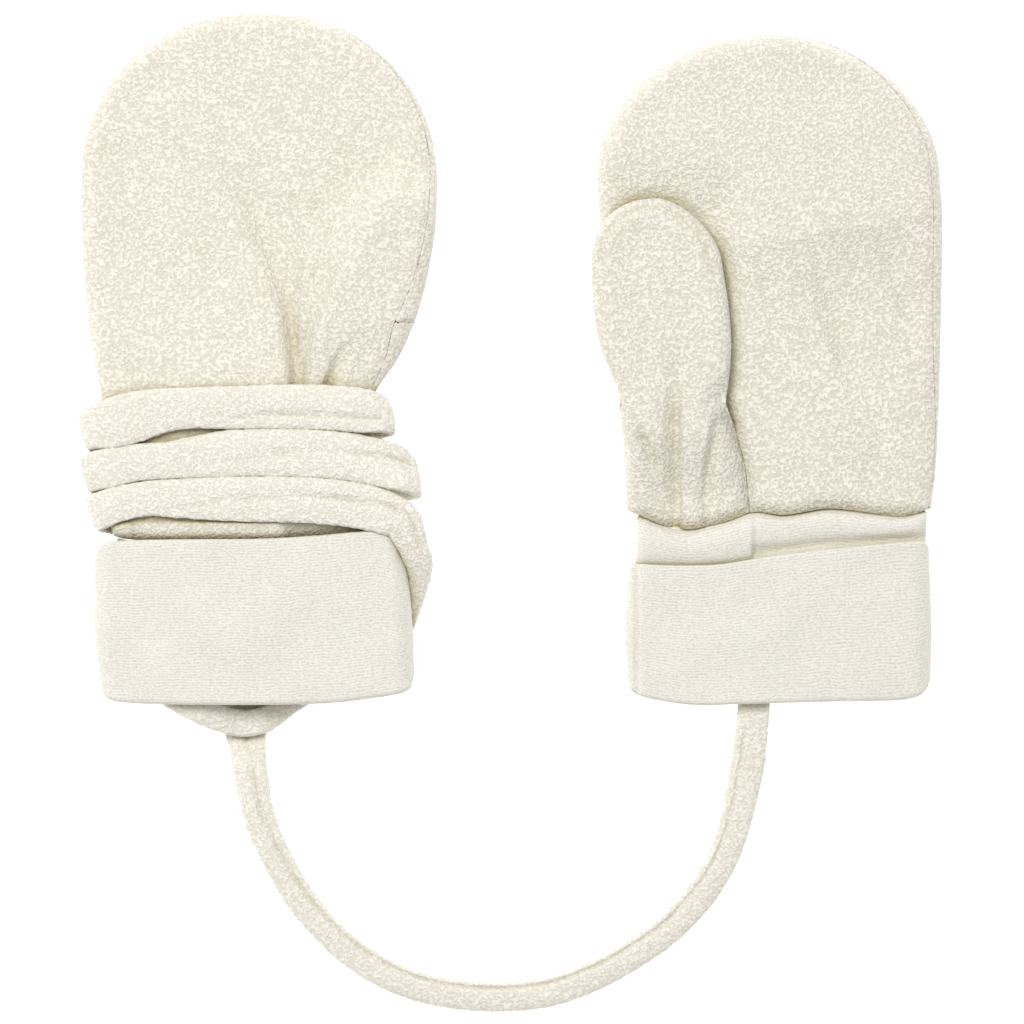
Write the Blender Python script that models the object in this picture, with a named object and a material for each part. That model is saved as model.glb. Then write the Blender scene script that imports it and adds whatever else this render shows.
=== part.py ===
"""A pair of baby mittens joined by a cord, laid flat: one shows its back, the other its palm.

Each mitten is sewn from a back, a palm, two thumb pieces and a turned-up cuff. A long flat cord
joins them. It is wound three times round the wrist of the mitten that lies back up.
The row frame has +X to the right, +Y towards the finger tips and +Z up from the surface.
Tables and sizes are in millimetres; MM turns them into Blender's metres.
"""

import math

import bmesh
import bpy
from mathutils import Vector
from mathutils.geometry import delaunay_2d_cdt

MM = 0.001
GAP = 0.3

# Cloth.
FLEECE = 2.1
THUMB_FLEECE = 2.0
THUMB_FLEECE_CROTCH = 1.2
JERSEY = 1.3
RIM = 0.8
EDGE_ROLL = 4.0

# Hand of each mitten.
HAND_THICKNESS = 7.0
WRIST_THICKNESS_WOUND = 4.9
OVER_THUMB_THICKNESS = 5.5

# Thumb.
THUMB_THICKNESS = 5.2
THUMB_ROLL = 9.0
THUMB_DROP = 5.0
THUMB_EASE = 3.0
THUMB_BASE_PALM_UP = 7.0

# The wound wrist rests on two layers of cord.
WOUND_LIFT = 5.8
LIFT_END_LOW = 69.0
LIFT_END_HIGH = 84.0

# Cuff.
CUFF_LIFT_WOUND = 2.9
SLIT_HALF = 1.6

# Where each mitten's own origin, the middle of its cuff's lower edge, lies in the row frame.
BACK_UP_ORIGIN = (-55.7, -76.0)
PALM_UP_ORIGIN = (57.1, -76.1)

CREAM = (0.85, 0.79, 0.66, 1.0)
CREAM_JERSEY = (0.86, 0.82, 0.70, 1.0)


# ---------------------------------------------------------------- tables

# A pouch's sides: height above the cuff's lower edge, left edge, right edge.
BACK_UP_HAND = {
    "sides": [
        (36.6, -31.8, 26.8),
        (41.0, -32.7, 27.4),
        (50.0, -35.0, 27.4),
        (60.0, -34.8, 25.2),
        (68.0, -34.6, 25.6),
        (76.0, -36.1, 30.8),
        (84.0, -37.6, 34.4),
        (92.0, -38.4, 36.8),
        (104.0, -39.0, 38.9),
        (114.0, -39.3, 39.4),
    ],
    "shoulder": 114.0,
    "tip": 152.3,
    "fullness": (2.15, 2.15),
}
PALM_UP_HAND = {
    "sides": [
        (41.5, -31.6, 35.0),
        (50.0, -32.1, 36.2),
        (65.0, -33.2, 37.0),
        (80.0, -35.0, 37.4),
        (100.0, -36.9, 37.8),
        (110.0, -38.0, 37.7),
        (116.0, -38.5, 37.2),
    ],
    "shoulder": 116.0,
    "tip": 147.8,
    "fullness": (2.0, 1.95),
}
PALM_UP_THUMB = {
    "sides": [
        (60.0, -32.0, -7.9),
        (66.0, -32.6, -9.9),
        (72.2, -35.0, -9.2),
        (79.4, -37.8, -8.8),
        (87.8, -39.2, -9.4),
        (97.0, -39.6, -10.8),
    ],
    "shoulder": 97.0,
    "tip": 111.3,
    "fullness": (2.2, 1.6),
}

# The lower edge of the fleece, where the cuff is sewn on: across, height.
BACK_UP_WRIST = [(-34.0, 38.6), (-29.0, 36.9), (-15.0, 36.5), (5.0, 36.6), (18.0, 37.2), (28.0, 38.4)]
PALM_UP_WRIST = [(-32.0, 42.9), (-20.0, 38.7), (-10.0, 40.3), (-4.0, 42.4), (3.0, 41.8), (13.0, 43.2),
                 (29.0, 41.5), (35.0, 43.2)]

# The seam between the thumb's front and the palm, from the wrist to the crotch: height, across.
PALM_UP_SEAM = [(38.0, -4.0), (44.0, -4.8), (52.0, -5.6), (60.0, -7.7), (66.0, -9.9)]
BACK_UP_SEAM = [(35.0, 2.5), (44.0, 3.0), (60.0, 3.6), (72.0, 4.6), (84.0, 6.6)]
PALM_UP_CROTCH = 66.0
BACK_UP_CROTCH = 84.0

# The thumb of the mitten that lies back up is mirrored, squeezed narrower, turned and moved.
BACK_UP_THUMB_SQUEEZE = 0.70
BACK_UP_THUMB_MIDDLE = 24.7
BACK_UP_THUMB_PIVOT = (22.0, 70.0)
BACK_UP_THUMB_TURN = math.radians(-12.0)
BACK_UP_THUMB_MOVE = (-3.5, 2.0)

# Folds pressed into the upper cloth: start, end, depth at each, half-width at each.
BACK_UP_FOLDS = [
    {"start": (7.0, 70.0), "end": (7.5, 104.0), "depth": (1.5, 0.3), "half_width": (3.0, 9.0)},
    {"start": (15.8, 70.0), "end": (21.5, 82.0), "depth": (1.3, 0.2), "half_width": (2.2, 3.0)},
]
THUMB_FOLDS = [
    {"start": (-20.4, 44.0), "end": (-20.8, 70.0), "depth": (0.4, 1.0), "half_width": (3.0, 3.0)},
    {"start": (-13.8, 48.0), "end": (-11.6, 66.0), "depth": (0.3, 0.8), "half_width": (2.2, 2.2)},
]

# A cuff's outer sides from its lower edge (0) to its upper edge (1): share, left, right.
BACK_UP_CUFF_SIDES = [(0.0, -34.4, 34.2), (0.4, -36.0, 34.0), (0.8, -35.9, 32.8), (1.0, -35.2, 30.8)]
PALM_UP_CUFF_SIDES = [(0.0, -31.6, 35.2), (0.4, -32.3, 35.4), (1.0, -31.4, 34.8)]

# A cuff's lower and upper edges: across, height.
BACK_UP_HEM = [(-36.0, 1.2), (-24.0, 0.2), (0.0, 0.0), (16.0, 0.4), (27.0, 2.0), (35.0, 3.4)]
BACK_UP_CUFF_TOP = [(-36.0, 33.6), (-22.0, 35.6), (1.0, 36.0), (13.0, 36.8), (25.0, 37.6), (32.0, 34.6)]
PALM_UP_HEM = [(-32.5, 3.6), (-26.6, 1.6), (-17.0, 0.0), (-7.0, 0.2), (15.0, 0.8), (27.0, 1.1), (35.5, 3.6)]
PALM_UP_CUFF_TOP = [(-32.0, 31.0), (-20.0, 30.6), (-12.0, 30.9), (-4.0, 32.1), (5.0, 33.4), (15.0, 34.5),
                    (35.0, 36.1)]

# The cord's route from inside one cuff to inside the other: across, along, height of its middle,
# width, thickness. The first three stretches lie in the back-up mitten's own frame.
CORD_START = [
    (-24.5, 13.0, 7.45, 6.8, 2.4),
    (-22.8, 6.6, 7.45, 6.6, 2.4),
    (-19.0, 2.4, 7.45, 6.2, 2.4),
    (-13.4, -0.9, 7.3, 6.0, 2.4),
    (-8.0, -3.2, 5.8, 6.0, 2.6),
    (-3.4, -4.2, 4.7, 6.0, 2.6),
    (0.6, -4.2, 4.0, 5.8, 2.4),
    (4.4, -3.0, 2.4, 5.8, 2.3),
    (8.6, -0.9, 1.35, 6.2, 2.3),
    (13.0, 2.0, 1.35, 7.0, 2.3),
    (19.0, 5.6, 1.4, 8.0, 2.3),
    (27.6, 11.6, 1.4, 7.4, 2.4),
]
CORD_WOUND = [
    (32.6, 17.0, 1.7, 6.0, 2.6),
    (35.0, 22.4, 3.2, 4.8, 4.0),
    (36.2, 27.4, 5.6, 4.6, 4.2),
    (36.3, 32.2, 8.2, 4.8, 4.2),
    (35.1, 36.8, 10.9, 6.4, 3.4),
    (31.2, 40.7, 12.15, 8.4, 2.8),
    (24.0, 43.3, 12.15, 9.6, 2.6),
    (12.0, 44.8, 12.15, 9.8, 2.6),
    (-3.0, 45.2, 12.15, 9.5, 2.6),
    (-15.0, 44.8, 12.15, 8.7, 2.6),
    (-26.0, 44.2, 12.15, 8.4, 2.6),
    (-30.8, 43.5, 12.25, 8.2, 2.6),
    (-34.3, 42.7, 11.0, 8.2, 2.6),
    (-35.8, 42.1, 8.4, 8.2, 2.6),
    (-34.8, 41.7, 5.6, 8.2, 2.6),
    (-31.0, 41.5, 4.1, 8.2, 2.4),
    (-18.0, 43.0, 4.2, 8.6, 2.5),
    (0.0, 45.4, 4.2, 9.0, 2.5),
    (18.0, 47.8, 4.2, 9.0, 2.5),
    (28.4, 49.1, 4.3, 8.8, 2.5),
    (32.6, 49.5, 5.6, 9.2, 2.6),
    (34.3, 50.0, 8.2, 9.6, 2.6),
    (32.8, 51.0, 10.8, 9.8, 2.6),
    (28.0, 52.6, 12.1, 9.8, 2.6),
    (18.0, 54.4, 12.15, 10.0, 2.6),
    (7.0, 55.2, 12.15, 10.0, 2.6),
    (-4.0, 55.0, 12.15, 9.6, 2.6),
    (-15.0, 54.1, 12.15, 8.6, 2.6),
    (-26.0, 52.9, 12.15, 8.2, 2.6),
    (-33.4, 51.6, 11.9, 8.2, 2.6),
    (-36.5, 51.0, 10.4, 8.4, 2.6),
    (-37.3, 50.6, 8.2, 8.4, 2.6),
    (-36.4, 50.5, 6.0, 8.4, 2.6),
    (-33.0, 50.9, 4.3, 8.4, 2.5),
    (-20.0, 53.2, 4.2, 8.8, 2.5),
    (-4.0, 56.6, 4.2, 9.0, 2.5),
    (12.0, 60.0, 4.2, 9.0, 2.5),
    (21.0, 61.9, 4.2, 8.8, 2.5),
    (26.2, 62.7, 5.2, 8.6, 2.6),
    (28.6, 63.2, 8.4, 8.4, 2.6),
    (27.4, 63.8, 11.4, 8.6, 2.6),
    (22.8, 64.6, 12.4, 9.2, 2.6),
    (15.0, 65.2, 12.15, 9.4, 2.6),
    (4.8, 65.4, 12.15, 9.4, 2.6),
    (-6.2, 65.3, 12.15, 9.0, 2.6),
    (-17.2, 64.5, 12.15, 9.0, 2.6),
    (-27.0, 62.8, 12.15, 9.8, 2.6),
    (-32.6, 61.5, 12.4, 9.8, 2.6),
    (-36.2, 60.7, 11.0, 9.4, 2.6),
    (-37.6, 60.1, 8.2, 9.0, 2.6),
    (-37.0, 59.7, 5.2, 8.8, 2.6),
]
CORD_UNDER = [
    (-34.0, 59.2, 2.6, 8.6, 2.4),
    (-30.0, 58.2, 1.5, 8.4, 2.4),
    (-24.0, 56.2, 1.35, 8.4, 2.3),
    (-16.3, 52.0, 1.35, 8.4, 2.3),
    (-9.9, 44.0, 1.35, 8.4, 2.3),
    (-5.9, 32.0, 1.35, 8.4, 2.3),
    (-3.7, 18.0, 1.35, 8.4, 2.3),
    (-3.05, 4.0, 1.3, 7.4, 2.2),
    (-2.9, -5.0, 1.3, 7.2, 2.2),
    (-2.3, -11.0, 1.5, 7.4, 2.5),
]
CORD_END = [
    (52.9, -78.6, 4.2, 7.2, 2.6),
    (53.3, -74.5, 4.5, 7.0, 2.5),
    (53.6, -67.0, 4.5, 7.0, 2.5),
    (53.8, -58.0, 4.5, 7.0, 2.5),
]
CORD_RADIUS = 3.2
CORD_FREE = [
    (-57.95, -87.3),
    (-56.2, -98.1),
    (-54.2, -104.7),
    (-50.8, -111.6),
    (-46.4, -118.9),
    (-40.9, -125.5),
    (-35.0, -130.8),
    (-28.0, -135.2),
    (-19.5, -138.5),
    (-10.5, -140.1),
    (-1.0, -140.5),
    (8.6, -139.3),
    (17.5, -136.2),
    (26.0, -131.6),
    (34.0, -126.0),
    (41.0, -118.8),
    (46.0, -111.0),
    (48.7, -104.0),
    (50.5, -97.0),
    (51.9, -89.0),
    (52.8, -78.9),
]



# ---------------------------------------------------------------- arithmetic

def smoothstep(low, high, value):
    share = min(1.0, max(0.0, (value - low) / (high - low)))
    return share * share * (3.0 - 2.0 * share)


def mix(first, second, share):
    return first + (second - first) * share


def column_at(rows, value, column=1):
    """A table's column, read smoothly at a value of its first column."""
    if value <= rows[0][0]:
        return rows[0][column]
    if value >= rows[-1][0]:
        return rows[-1][column]
    i = max(k for k in range(len(rows) - 1) if rows[k][0] <= value)

    def slope(k):
        before, after = rows[max(k - 1, 0)], rows[min(k + 1, len(rows) - 1)]
        return (after[column] - before[column]) / (after[0] - before[0])

    width = rows[i + 1][0] - rows[i][0]
    t = (value - rows[i][0]) / width
    return (
        (2 * t**3 - 3 * t**2 + 1) * rows[i][column]
        + (t**3 - 2 * t**2 + t) * width * slope(i)
        + (3 * t**2 - 2 * t**3) * rows[i + 1][column]
        + (t**3 - t**2) * width * slope(i + 1)
    )


def evenly(points, count):
    """The same line again with count + 1 evenly spaced points."""
    reach = [0.0]
    for a, b in zip(points, points[1:]):
        reach.append(reach[-1] + math.dist(a, b))
    spaced, i = [], 0
    for k in range(count + 1):
        wanted = reach[-1] * k / count
        while i < len(points) - 2 and reach[i + 1] < wanted:
            i += 1
        share = (wanted - reach[i]) / max(reach[i + 1] - reach[i], 1e-9)
        spaced.append(tuple(mix(a, b, share) for a, b in zip(points[i], points[i + 1])))
    return spaced


def distance_to(line, x, y):
    """How far a point is from an open line of points."""
    best = math.inf
    for (ax, ay), (bx, by) in zip(line, line[1:]):
        dx, dy = bx - ax, by - ay
        t = max(0.0, min(1.0, ((x - ax) * dx + (y - ay) * dy) / (dx * dx + dy * dy)))
        best = min(best, math.hypot(x - ax - t * dx, y - ay - t * dy))
    return best


def inside(loop, x, y):
    """Whether a point is inside a closed loop of points."""
    odd = False
    for (ax, ay), (bx, by) in zip(loop, loop[1:] + loop[:1]):
        if (ay > y) != (by > y) and x < ax + (y - ay) * (bx - ax) / (by - ay):
            odd = not odd
    return odd


def rounded(depth, radius):
    """0 at an edge, rising as a quarter circle to 1 at a depth of radius."""
    return math.sqrt(1.0 - (1.0 - min(max(depth, 0.0) / radius, 1.0)) ** 2)


def inset(line, depth):
    """The points of a line moved to its left by depth."""
    moved = []
    for k, (x, y) in enumerate(line):
        ax, ay = line[max(k - 1, 0)]
        bx, by = line[min(k + 1, len(line) - 1)]
        length = math.hypot(bx - ax, by - ay)
        moved.append((x - (by - ay) / length * depth, y + (bx - ax) / length * depth))
    return moved


# ---------------------------------------------------------------- outlines

ARC_STEPS = 24


def pouch_side(pouch, low_right, low_left, count):
    """The edge of a hand or thumb, from its lower right corner over the tip to its lower left."""
    shoulder, tip, rows = pouch["shoulder"], pouch["tip"], pouch["sides"]
    left, right = (column_at(rows, shoulder, c) for c in (1, 2))
    middle, half = (left + right) / 2, (right - left) / 2
    full_left, full_right = pouch["fullness"]
    steps = 12
    points = []
    for k in range(steps):
        height = mix(low_right, shoulder, k / steps)
        points.append((column_at(rows, height, 2), height))
    for k in range(2 * ARC_STEPS + 1):
        angle = math.pi * k / (2 * ARC_STEPS)
        power = 2.0 / (full_right if k < ARC_STEPS else full_left)
        across = math.copysign(abs(math.cos(angle)) ** power, math.cos(angle))
        points.append((middle + half * across, shoulder + (tip - shoulder) * abs(math.sin(angle)) ** power))
    for k in range(steps):
        height = mix(shoulder, low_left, (k + 1) / steps)
        points.append((column_at(rows, height, 1), height))
    return evenly(points, count)


def hidden_thumb(lobe):
    """The thumb's outline as it lies beneath the mitten that shows its back."""
    turn, pivot, move = BACK_UP_THUMB_TURN, BACK_UP_THUMB_PIVOT, BACK_UP_THUMB_MOVE
    c, s = math.cos(turn), math.sin(turn)
    out = []
    for x, y in lobe:
        narrow = BACK_UP_THUMB_MIDDLE + (-x - BACK_UP_THUMB_MIDDLE) * BACK_UP_THUMB_SQUEEZE
        dx, dy = narrow - pivot[0], y - pivot[1]
        out.append((pivot[0] + dx * c - dy * s + move[0], pivot[1] + dx * s + dy * c + move[1]))
    return out[::-1]


# ---------------------------------------------------------------- solids

def material(name, colour, roughness):
    made = bpy.data.materials.new(name)
    made.use_nodes = True
    shader = made.node_tree.nodes["Principled BSDF"]
    shader.inputs["Base Color"].default_value = colour
    shader.inputs["Roughness"].default_value = roughness
    shader.inputs["Metallic"].default_value = 0.0
    return made


def add_object(name, vertices, faces, origin, finish):
    """A closed mesh in the parts collection. Its vertices are in millimetres from origin."""
    mesh = bpy.data.meshes.new(name)
    mesh.from_pydata([Vector(v) * MM for v in vertices], [], faces)
    cloth = bmesh.new()
    cloth.from_mesh(mesh)
    bmesh.ops.recalc_face_normals(cloth, faces=cloth.faces)
    cloth.to_mesh(mesh)
    cloth.free()
    mesh.shade_smooth()
    mesh.set_sharp_from_angle(angle=math.radians(50))
    mesh.materials.append(finish)
    made = bpy.data.objects.new(name, mesh)
    made.location = (origin[0] * MM, origin[1] * MM, 0.0)
    PARTS.objects.link(made)
    return made


def panel(name, outline, inner_points, low, high, origin, finish):
    """A piece of cloth cut to an outline, between two heights that vary over it."""
    flat = [Vector(p) for p in outline + inner_points]
    cut = delaunay_2d_cdt(flat, [], [list(range(len(outline)))], 1, 1e-4)
    points, triangles = cut[0], [list(face) for face in cut[2]]
    used = sorted({i for face in triangles for i in face})
    place = {old: new for new, old in enumerate(used)}
    points = [points[i] for i in used]
    triangles = [[place[i] for i in face] for face in triangles]
    count = len(points)
    vertices = [(p.x, p.y, low(p.x, p.y)) for p in points] + [(p.x, p.y, high(p.x, p.y)) for p in points]
    faces = [[i + count for i in face] for face in triangles]
    faces += [face[::-1] for face in triangles]
    sides = {(face[k], face[(k + 1) % 3]) for face in triangles for k in range(3)}
    faces += [[a, b, b + count, a + count] for a, b in sorted(sides) if (b, a) not in sides]
    return add_object(name, vertices, faces, origin, finish)


def loft(name, rings, closed, origin, finish):
    """A solid through rings of points: joined back to its first ring, or capped at both ends."""
    size = len(rings[0])
    vertices = [p for ring in rings for p in ring]
    faces = []
    for r in range(len(rings) if closed else len(rings) - 1):
        this, after = r * size, (r + 1) % len(rings) * size
        for k in range(size):
            n = (k + 1) % size
            faces.append([this + k, this + n, after + n, after + k])
    if not closed:
        faces += [list(range(size))[::-1], [(len(rings) - 1) * size + k for k in range(size)]]
    return add_object(name, vertices, faces, origin, finish)


# ---------------------------------------------------------------- hands and thumbs

RINGS = (1.1, 2.4, 4.6)
LATTICE = 11.0


def wrist_points(rows, left, right, count, offsets=RINGS):
    """The fleece's lower edge from left to right, with extra points near its two ends."""
    xs = [left + d for d in offsets]
    xs += [mix(left + offsets[-1], right - offsets[-1], (k + 1) / (count + 1)) for k in range(count)]
    xs += [right - d for d in reversed(offsets)]
    return [(x, column_at(rows, x)) for x in xs]


def lattice(outline, taken, spacing, keep_off):
    """Points over the inside of an outline, away from its edge and from points already taken."""
    xs, ys = [p[0] for p in outline], [p[1] for p in outline]
    found = []
    edge = outline + outline[:1]
    for i in range(int((max(ys) - min(ys)) / spacing) + 1):
        for j in range(int((max(xs) - min(xs)) / spacing) + 1):
            x = min(xs) + (j + 0.5 * (i % 2)) * spacing
            y = min(ys) + i * spacing
            if not inside(outline, x, y) or distance_to(edge, x, y) < keep_off:
                continue
            if all(math.dist((x, y), p) > 0.55 * spacing for p in taken):
                found.append((x, y))
    return found


def fold_line(fold, spacing=5.0):
    """Points along the bottom of a fold and along its two shoulders."""
    (ax, ay), (bx, by) = fold["start"], fold["end"]
    length = math.hypot(bx - ax, by - ay)
    nx, ny = -(by - ay) / length, (bx - ax) / length
    steps = max(2, round(length / spacing))
    points = []
    for k in range(steps + 1):
        share = k / steps
        half = mix(*fold["half_width"], share)
        for side in (-1.0, -0.5, 0.0, 0.5, 1.0):
            points.append((mix(ax, bx, share) + nx * half * side, mix(ay, by, share) + ny * half * side))
    return points


def fold_depth(folds, x, y):
    """How far folds press the upper cloth down at a point."""
    total = 0.0
    for fold in folds:
        (ax, ay), (bx, by) = fold["start"], fold["end"]
        length = math.hypot(bx - ax, by - ay)
        along = ((x - ax) * (bx - ax) + (y - ay) * (by - ay)) / length
        across = abs((x - ax) * (by - ay) - (y - ay) * (bx - ax)) / length
        share = min(1.0, max(0.0, along / length))
        half = mix(*fold["half_width"], share)
        fade = smoothstep(-6.0, 0.0, along) * (1.0 - smoothstep(length - 2.0, length + 6.0, along))
        total += mix(*fold["depth"], share) * fade * (1.0 - smoothstep(0.0, half, across))
    return total


def lower_cloth(side, floor, seam, thickness, roll=EDGE_ROLL):
    """The two heights of a panel that lies underneath and curls up to the seam at its side."""

    def low(x, y):
        curl = 1.0 - rounded(distance_to(side, x, y), roll)
        return mix(floor(x, y), seam(x, y) - GAP / 2 - RIM, curl)

    def high(x, y):
        curl = 1.0 - smoothstep(0.5 * thickness, roll + thickness, distance_to(side, x, y))
        return mix(floor(x, y) + thickness, seam(x, y) - GAP / 2, curl)

    return low, high


def upper_cloth(side, roof, seam, under, thickness, roll=EDGE_ROLL):
    """The two heights of a panel that lies on the one under it and curls down to their seam."""

    def high(x, y):
        curl = 1.0 - rounded(distance_to(side, x, y), roll)
        return mix(roof(x, y), seam(x, y) + GAP / 2 + RIM, curl)

    def low(x, y):
        curl = 1.0 - smoothstep(0.5 * thickness, roll + thickness, distance_to(side, x, y))
        return max(mix(roof(x, y) - thickness, seam(x, y) + GAP / 2, curl), under(x, y) + GAP)

    return low, high


def ring_points(side, outline, depths=RINGS):
    """Points inside an outline along lines parallel to its side."""
    return [
        p
        for depth in depths
        for p in inset(side, depth)[1:-1]
        if inside(outline, *p) and distance_to(outline + outline[:1], *p) > 0.8 * depth
    ]


def notched(side, wrist, seam_rows, crotch, thumb_on_right):
    """A palm's outline: the hand's, less the corner where the thumb's front is sewn in.

    Returns the outline and the part of the hand's side that the palm keeps."""
    if thumb_on_right:
        kept = [p for k, p in enumerate(side) if p[1] > crotch or k > len(side) / 2]
        corner_x = kept[0][0]
    else:
        kept = [p for k, p in enumerate(side) if p[1] > crotch or k < len(side) / 2]
        corner_x = kept[-1][0]
    seam_x = column_at(seam_rows, crotch)
    low_x = column_at(seam_rows, wrist[len(wrist) // 2][1])
    heights = [mix(column_at(wrist, low_x), crotch, k / 5) for k in range(6)]
    seam = [(column_at(seam_rows, h), h) for h in heights]
    shelf = [(mix(seam_x, corner_x, k / 4), crotch) for k in range(1, 4)]
    if thumb_on_right:
        seam = [(x - GAP / 2, y) for x, y in seam]
        hem = [p for p in wrist if p[0] < low_x - 1.5]
        return kept + hem + seam + shelf, kept
    seam = [(x + GAP / 2, y) for x, y in seam]
    hem = [p for p in wrist if p[0] > low_x + 1.5]
    return kept + shelf[::-1] + seam[::-1] + hem, kept


def thumb_front_outline(lobe, hand_side, wrist, seam_rows, crotch, thumb_on_right):
    """The thumb's front: the lobe, widening below the crotch to the wrist, side and seam."""
    low_x = column_at(seam_rows, wrist[len(wrist) // 2][1])
    heights = [mix(column_at(wrist, low_x), crotch, k / 5) for k in range(6)]
    seam = [(column_at(seam_rows, h), h) for h in heights]
    if thumb_on_right:
        edge = [p for k, p in enumerate(hand_side) if p[1] < crotch - 4.0 and k < len(hand_side) / 2]
        hem = [p for p in wrist if p[0] > low_x + 1.5]
        seam = [(x + GAP / 2, y) for x, y in seam]
        return hem + edge + lobe + seam[::-1], edge + lobe
    edge = [p for k, p in enumerate(hand_side) if p[1] < crotch - 4.0 and k > len(hand_side) / 2]
    hem = [p for p in wrist if p[0] < low_x - 1.5]
    seam = [(x - GAP / 2, y) for x, y in seam]
    return hem + seam + lobe + edge, lobe + edge


def hand_frame(hand, wrist_rows):
    """A hand's side, its wrist and its whole outline."""
    low_left, low_right = column_at(wrist_rows, -99.0), column_at(wrist_rows, 99.0)
    side = pouch_side(hand, low_right, low_left, 36)
    wrist = wrist_points(wrist_rows, side[-1][0], side[0][0], 6)
    return side, wrist, side + wrist


def palm_up_mitten(prefix, fleece):
    """The mitten that shows its palm: its back is underneath and its thumb lies on the palm."""
    side, wrist, outline = hand_frame(PALM_UP_HAND, PALM_UP_WRIST)
    crotch = PALM_UP_CROTCH
    lobe = pouch_side(PALM_UP_THUMB, crotch, crotch, 22)

    def floor(x, y):
        return 0.0

    def roof(x, y):
        crown = 0.9 * math.exp(-(((x - 12.0) / 20.0) ** 2) - ((y - 108.0) / 30.0) ** 2)
        return HAND_THICKNESS - 0.4 + crown * smoothstep(-10.0, 4.0, x)

    def seam(x, y):
        return HAND_THICKNESS / 2

    rings = ring_points(side, outline)
    inner = rings + lattice(outline, rings, LATTICE, 5.0)
    lower = lower_cloth(side, floor, seam, FLEECE)
    panel(prefix + "back", outline, inner, *lower, PALM_UP_ORIGIN, fleece)

    cut, kept = notched(side, wrist, PALM_UP_SEAM, crotch, False)
    rings = ring_points(kept, cut)
    inner = rings + lattice(cut, rings, LATTICE, 4.0)
    upper = upper_cloth(side, roof, seam, lower[1], FLEECE)
    panel(prefix + "palm", cut, inner, *upper, PALM_UP_ORIGIN, fleece)

    thumb_base = THUMB_BASE_PALM_UP
    thumb_top = thumb_base + THUMB_THICKNESS

    def thumb_floor(x, y):
        return thumb_base

    def thumb_roof(x, y):
        depth = distance_to(lobe, x, y)
        in_lobe = thumb_top + 0.9 * rounded(depth, THUMB_ROLL)
        below = HAND_THICKNESS - 0.4
        return mix(below, in_lobe, smoothstep(crotch - 22.0, crotch - 8.0, y)) - fold_depth(THUMB_FOLDS, x, y)

    def thumb_seam(x, y):
        return mix(seam(x, y), thumb_base + THUMB_THICKNESS / 2, smoothstep(crotch - 14.0, crotch, y))

    back_cut = lobe + [(mix(lobe[-1][0], lobe[0][0], k / 4), crotch) for k in range(1, 4)]
    rings = ring_points(lobe, back_cut)
    inner = rings + lattice(back_cut, rings, 7.0, 3.5)
    thumb_lower = lower_cloth(lobe, thumb_floor, thumb_seam, THUMB_FLEECE)
    panel(prefix + "thumb_back", back_cut, inner, *thumb_lower, PALM_UP_ORIGIN, fleece)

    def beneath(x, y):
        return thumb_lower[1](x, y) if y > crotch - 9.0 else lower[1](x, y)

    cut, edge = thumb_front_outline(lobe[1:-1], side, wrist, PALM_UP_SEAM, crotch, False)
    rings = ring_points(lobe[1:-1], cut)
    folds = [p for fold in THUMB_FOLDS for p in fold_line(fold) if inside(cut, *p)]
    folds = [p for p in folds if distance_to(cut + cut[:1], *p) > 1.5]
    rings = [p for p in rings if all(math.dist(p, q) > 1.6 for q in folds)]
    inner = rings + folds + lattice(cut, rings + folds, 7.0, 3.0)
    heights = upper_cloth(edge, thumb_roof, thumb_seam, beneath, THUMB_FLEECE)
    panel(prefix + "thumb_front", cut, inner, *heights, PALM_UP_ORIGIN, fleece)


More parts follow.
